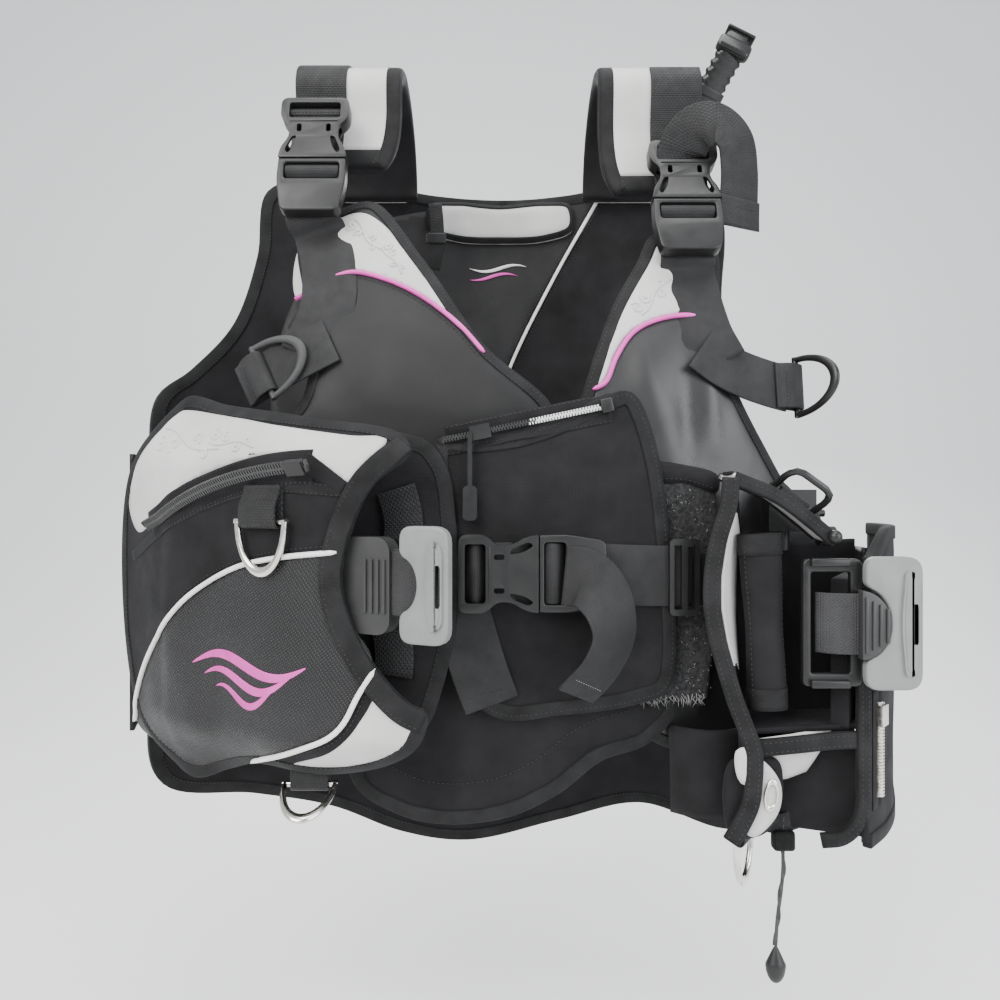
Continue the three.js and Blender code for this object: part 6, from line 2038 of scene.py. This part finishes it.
def outer_wall():
    line = [[224, MOUTH_Y], [247, -130], [268, -98], [283, -60], [287, -26]]
    top = lambda r: -366 + 19 * float(ease(r / 40))
    foot = lambda r: -536 + 14 * float(ease((r - 80) / 50))
    grid = wall_grid(line, top, foot)
    wall = bent_sheet("left_pocket_outer", grid, 3.6, CLOTH, crease=0.9, grain=34, seed=36)
    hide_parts("left_pocket_outer_wall")
    front_edge = [(224, MOUTH_Y + 0.5, z) for z in np.linspace(-364, -512, 14)]
    front_edge += [(221, MOUTH_Y + 1, -524), (212, MOUTH_Y + 3, -534), (200, MOUTH_Y + 6, -537)]
    edge_binding("left_outer_binding", front_edge, (0.2, -1, 0), 9, 4.6, rows=(-2.2, 2.2))
    top_edge = [tuple(p) for p in grid[0][1:]]
    foot_edge = [tuple(p) for p in grid[-1][1:]]
    for name, edge in (("top", top_edge), ("foot", foot_edge)):
        points = smooth_line(edge, 3)
        t = np.gradient(points, axis=0)
        outs = np.stack([-t[:, 1], t[:, 0], 0 * t[:, 0]], 1)
        outs /= np.linalg.norm(outs, axis=1)[:, None]
        sweep(f"left_outer_{name}_binding", points, outs, flat_section(9, 2.9, -2.9, 1.4), TAPE)
    # A bound gusset closes the pocket's far side under the floor.
    gusset = []
    for z in np.linspace(-476, -536, 12):
        t = (z + 476) / -60
        gusset.append([(x - 4 * t * (x - 168) / 58, -148 + 24 * (1 - (x - 164) / 68) + 4 * t, z)
                       for x in np.linspace(164, 232, 14)])
    bent_sheet("left_pocket_gusset", gusset, 2.0, CLOTH, crease=1.4, grain=18, seed=37)
    side_zip()


def side_zip():
    place = turned(238.5, -142.5, -512, 0, 0, math.radians(46))
    zs = np.linspace(0, 62, 40)
    points = in_place(place, [(0, -1.2, z) for z in zs])
    outs = directions(place, [(0, -1, 0)] * len(zs))
    row = teeth("left_pocket_zip_teeth", points, outs, STEEL, 5.0, 2.4, 2.0)
    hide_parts("left_pocket_zipper")
    for k, x in enumerate((-6.2, 6.2)):
        tape_points = in_place(place, [(x, 0.5, z) for z in np.linspace(-6, 68, 24)])
        tape_outs = np.tile(outs[0], (24, 1))
        section = flat_section(8, 0.7, -0.7, 0.5)
        sweep(f"left_pocket_zip_tape_{k + 1}", tape_points, tape_outs, section, CLOTH)
    hard("left_pocket_zip_slider", STEEL, 0.4)


def pocket_roof():
    line = smooth_line([[144, -311], [170, -322], [192, -338], [206, -350]], 4)
    rows = []
    for y in np.linspace(-154, -122, 9):
        sag = 1.5 * math.sin(math.pi * (y + 154) / 32)
        rows.append([(x, y, z + 1.5 - sag) for x, z in line])
    roof = bent_sheet("left_roof_face", rows, 3.0, SILVER, crease=0.7, grain=20, seed=38)
    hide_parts("left_pocket_roof")
    front_edge = [(x, -154.5, z - 0.6) for x, z in line]
    edge_binding("left_roof_front_binding", front_edge, (0, -1, 0.25), 8.5, 4.4, rows=(0,))
    rear_edge = [(x, -121.5, z + 1.2) for x, z in line]
    edge_binding("left_roof_rear_binding", rear_edge, (0, -0.3, 1), 7, 4.4, rows=(0,))
    middle = [(x, -139, z + 3.2) for x, z in line]
    p = smooth_line(middle, 3)
    t = np.gradient(p, axis=0)
    outs = unit(np.stack([-t[:, 2], 0 * t[:, 1], t[:, 0]], 1))
    ribbon_between("left_roof_strap", p, outs, 22, 1.8, WEBBING)
    place = (
        turned(183, -139, -327.7, 0, math.radians(36))
        @ turned(0, 0, tab_depth(4.6) - SEWN) @ turned(0, 0, 0, math.radians(-90))
    )
    ring_loop("accessory_ring_tab", place, 21, 4.6, 13)
    hard("accessory_ring", BLACK_PLASTIC, 1.0, 3)
    bpy.ops.object.select_all(action="DESELECT")
    bpy.ops.mesh.primitive_uv_sphere_add(
        segments=24, ring_count=14, radius=0.0043, location=(0.2045, -0.158, -0.3475)
    )
    knob = bpy.context.object
    settle(knob, "left_roof_toggle", BLACK_PLASTIC, angle=60)


def pocket_roll():
    """The pocket's flap, rolled up beside its mouth and strapped at both ends."""
    steps = 34
    zs = np.linspace(-346, -456, steps)
    points, widths = [], []
    for z in zs:
        t = (-346 - z) / 110
        points.append((163.6 + 5.6 * t, -141, z))
        widths.append(1 - 0.12 * t + 0.04 * math.sin(9 * t))
    points = np.array(points)
    outs = np.tile([0.0, -1.0, 0.0], (steps, 1))
    ring = []
    for k in range(40):
        a = 2 * math.pi * k / 40
        wave_in = 1 + 0.05 * math.sin(3 * a + 0.8)
        ring.append((12.6 * math.cos(a) * wave_in, 9.8 * math.sin(a) * wave_in))
    roll = sweep("left_rolled_flap", points, outs, ring, CLOTH, widths=widths)
    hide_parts("left_pocket_roll")
    for k, rows in enumerate((slice(0, 5), slice(-5, None))):
        cuff = [(x * 1.06, y * 1.08) for x, y in ring]
        sweep(f"left_roll_hem_{k + 1}", points[rows], outs[rows], cuff, TAPE, widths=np.array(widths)[rows])
    for x in (-10.4, 9.8):
        offset = np.stack([x * np.array(widths)[2:-2], np.full(steps - 4, -5.0), 0 * zs[2:-2]], 1)
        seam_points = points[2:-2] + offset
        seam_outs = np.tile([math.copysign(0.75, x), -0.66, 0.0], (steps - 4, 1))
        side = "left" if x < 0 else "right"
        stitch_row(f"left_roll_stitches_{side}", seam_points + seam_outs * 1.4, seam_outs)


def left_weight():
    body = "left_weights"
    hard("left_weight_pouch", CLOTH, 2.5, 4)
    _, latch_high = box_mm("left_weight_latch")
    place = turned(206, latch_high.y - 4.6, -400)
    frame_place = place @ turned(-3, 4.4, 0)
    bracket = slab(rounded([(18, -39, 4), (18, 39, 4), (-18, 39, 4), (-18, -39, 4)]), 5.2, frame_place, 0)
    cut_away(bracket, [block((24, 30, 62), (-1, -2, 0), 1.5, 3, frame_place)])
    round_edges(bracket, 1.2)
    for z in (-37, 37):
        lug = block((24, 4.4, 5), (-2, -6.6, z), 1.2, 3, frame_place)
        bracket = join_pieces([bracket, lug])
    settle(bracket, "left_latch_frame", BLACK_PLASTIC, body, angle=40)
    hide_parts("left_weight_latch")
    path = smooth_line([(-12, 3.4), (-6, -1.5), (4, -4.8), (16, -6.0), (27, -5.2), (36, -3.0)], 2)
    points = in_place(place, [(x, y, 0) for x, y in path])
    d = np.gradient(path, axis=0)
    outs = directions(place, [(b, -a, 0) for a, b in d])
    ribbon_between("left_pull_webbing", points, outs, 37, 1.8, PULL_WEBBING, body)
    grab_handle("left_pull_handle", "left_weight_handle", place @ turned(30, -4.2, 1), 17, 40, 21, body)
    # A ribbed half disc fills the handle's recess.
    arc = [(19 * math.cos(a) - 4, 21 * math.sin(a)) for a in np.linspace(-1.5, 1.5, 25)]
    disc = slab(arc, 8, place @ turned(13, -4.0, 0), 1.0, 3)
    settle(disc, "left_grip_disc", GRIP_RUBBER, body, angle=40)
    for k in range(4):
        half = 17 - 2.2 * k
        rib = block((1.8, 1.4, 2 * half), (-0.5 + 4.2 * k, -8.4, 0), 0.5, 2, place @ turned(13, -4.0, 0))
        settle(rib, f"left_grip_rib_{k + 1}", GRIP_RUBBER, body)


right_weight()
left_pocket()
outer_wall()
pocket_roof()
pocket_roll()
left_weight()
LEFT_TAB = turned(157.2, -130.3, -541, 0, 0, math.radians(56.3))
bow_ring("left_lower_d_ring", "left_lower_ring", LEFT_TAB, 36, 31, 4, STEEL, "left_lower_ring")
ring_loop("left_lower_ring_tab", LEFT_TAB, 24, 4, 22)


# ---- Cord guide, side panels, inflator, tube and back fittings ----
def cord_guide():
    line = smooth_line([(150, -129, -522), (164, -129, -530), (180, -129, -534), (191, -129, -531)], 2)
    outs = np.tile([0.0, -1.0, 0.0], (len(line), 1))
    ribbon_between("cord_guide_strap", line, outs, 13, 2.2, WEBBING)
    guide = block((14, 9, 13), (183, -129, -544.5), 2.2, 3)
    settle(guide, "cord_guide_loop", WEBBING, angle=50)


def side_panels():
    for side, node in (("right", "right_side_panel"), ("left", "left_side_panel")):
        low, high = box_mm(node)
        sign = -1 if side == "right" else 1
        far = low.x + 2 if sign < 0 else high.x - 2
        near = high.x - 3 if sign < 0 else low.x + 3
        line = [[near, high.y - 1], [far, (low.y + high.y) / 2 + 3], [(near * 0.4 + far * 0.6), low.y + 2]]
        grid = wall_grid(line, lambda r: high.z, lambda r: low.z)
        sheet = bent_sheet(f"{side}_side_cloth", grid, 3.2, COATED, crease=0.6, grain=30, seed=50 + sign)
        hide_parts(node)


def valve(node, name):
    """A round dump valve: its CAD body with its edges rounded over, and ten ribs set round its face."""
    low, high = box_mm(node)
    middle = (low + high) / 2
    hard(node, BLACK_PLASTIC, 0.8, 3)
    radius = (high.x - low.x) / 2
    for k in range(10):
        a = 2 * math.pi * k / 10
        spot = (middle.x + radius * 0.62 * math.cos(a), high.y + 0.1, middle.z + radius * 0.62 * math.sin(a))
        rib = block((radius * 0.34, 1.0, 1.6), (0, 0, 0), 0.4, 2, turned(*spot, 0, -a))
        settle(rib, f"{name}_rib_{k + 1}", BLACK_PLASTIC)


def oral_tube():
    """A flattened, ringed tube rising behind the left shoulder, with its mouthpiece."""
    low, high = box_mm("oral_inflation_tube")
    foot = Vector((low.x + 13, high.y - 5, -62))
    steps = [(0, 0, 0), (3, -1, 22), (10, -21, 52), (22, -43, 88), (42, -63, 124)]
    line = smooth_line([tuple(foot + Vector(step)) for step in steps], 1.0)
    d = np.gradient(line, axis=0)
    outs = unit(np.stack([0 * d[:, 0], -d[:, 2], d[:, 1]], 1))
    run = np.arange(len(line)) * 1.0
    rings = 0.93 + 0.07 * np.cos(run * 2 * math.pi / 7.0) * ease((run - 10) / 10)
    section = [(12.6 * a, 5.6 * b) for a, b in super_ellipse(28, 0.8)]
    tube = sweep("oral_tube_hose", line, outs, section, GLOSS_RUBBER, widths=rings)
    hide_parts("oral_inflation_tube")
    for k, at in enumerate((6, 60, 108)):
        ring = [(13.6 * a, 6.6 * b) for a, b in super_ellipse(28, 0.8)]
        sweep(f"oral_tube_clip_{k + 1}", line[at:at + 8], outs[at:at + 8], ring, BLACK_PLASTIC)
    place = turned(*line[-1], math.radians(-20), math.radians(27))
    pieces = [
        block((30, 10, 15), (0, 0, -1), 3.6, 4, place),
        block((20, 7, 12), (-1, -1, 9), 2.6, 4, place),
        block((26, 12, 3), (0, -0.5, 15), 1.2, 3, place),
    ]
    settle(join_pieces(pieces), "oral_mouthpiece", GLOSS_RUBBER, angle=50)


cord_guide()
side_panels()
hard("inflator_housing", BLACK_PLASTIC, 1.4, 3)
hard("inflator_lever", BLACK_PLASTIC, 0.8, 3)
oral_tube()
hard("backpack_plate", BLACK_PLASTIC, 1.2, 3)
hard("carry_handle", RUBBER, 1.6, 3)
hard("cam_buckle_body", BLACK_PLASTIC, 0.9, 3)
hard("cam_buckle_lever", BLACK_PLASTIC, 0.9, 3)
hard("front_zip_slider", BLACK_PLASTIC, 0.4)
hard("right_pocket_zip_slider", BLACK_PLASTIC, 0.4)
valve("shoulder_dump_valve", "shoulder_valve")
valve("rear_dump_valve", "rear_valve")


# ---- Floor and light ----
def stage():
    """A pale floor that curves up into a pale wall."""
    bpy.ops.object.select_all(action="DESELECT")
    bpy.ops.mesh.primitive_plane_add(size=8, location=(0, 0, -0.80))
    floor = bpy.context.object
    floor.name = "floor"
    bpy.ops.object.mode_set(mode="EDIT")
    bpy.ops.mesh.select_all(action="DESELECT")
    bpy.ops.object.mode_set(mode="OBJECT")
    for edge in floor.data.edges:
        edge.select = all(floor.data.vertices[v].co.y > 0 for v in edge.vertices)
    bpy.ops.object.mode_set(mode="EDIT")
    bpy.ops.mesh.select_mode(type="EDGE")
    bpy.ops.mesh.extrude_region_move(TRANSFORM_OT_translate={"value": (0, 0, 6)})
    bpy.ops.object.mode_set(mode="OBJECT")
    for v in floor.data.vertices:
        if v.co.y > 0:
            v.co.y = 2.2
    bend = floor.modifiers.new("sweep", "BEVEL")
    bend.width = 1.2
    bend.segments = 16
    select_only(floor)
    bpy.ops.object.modifier_apply(modifier="sweep")
    bpy.ops.object.transform_apply(location=True, rotation=True, scale=True)
    floor.data.polygons.foreach_set("use_smooth", [True] * len(floor.data.polygons))
    paper = bpy.data.materials.new("pale_paper")
    paper.use_nodes = True
    paper.node_tree.nodes["Principled BSDF"].inputs["Base Color"].default_value = (0.80, 0.80, 0.80, 1)
    paper.node_tree.nodes["Principled BSDF"].inputs["Roughness"].default_value = 0.9
    floor.data.materials.append(paper)
    world = bpy.data.worlds.new("soft_room")
    bpy.context.scene.world = world
    world.use_nodes = True
    world.node_tree.nodes["Background"].inputs["Color"].default_value = (0.92, 0.95, 1.0, 1)
    world.node_tree.nodes["Background"].inputs["Strength"].default_value = 0.95
    add_light("window", (-1.1, -1.5, 0.8), (0, 0, -0.3), 1.4, 62, (1.0, 0.99, 0.97))
    add_light("fill", (1.3, -1.2, 0.1), (0, 0, -0.35), 1.2, 30, (0.95, 0.97, 1.0))
    add_light("above", (0.1, -0.3, 1.2), (0, 0, -0.3), 1.2, 26)
    add_light("behind", (0.2, 1.7, 0.6), (0, 0.1, -0.3), 1.4, 34)


stage()
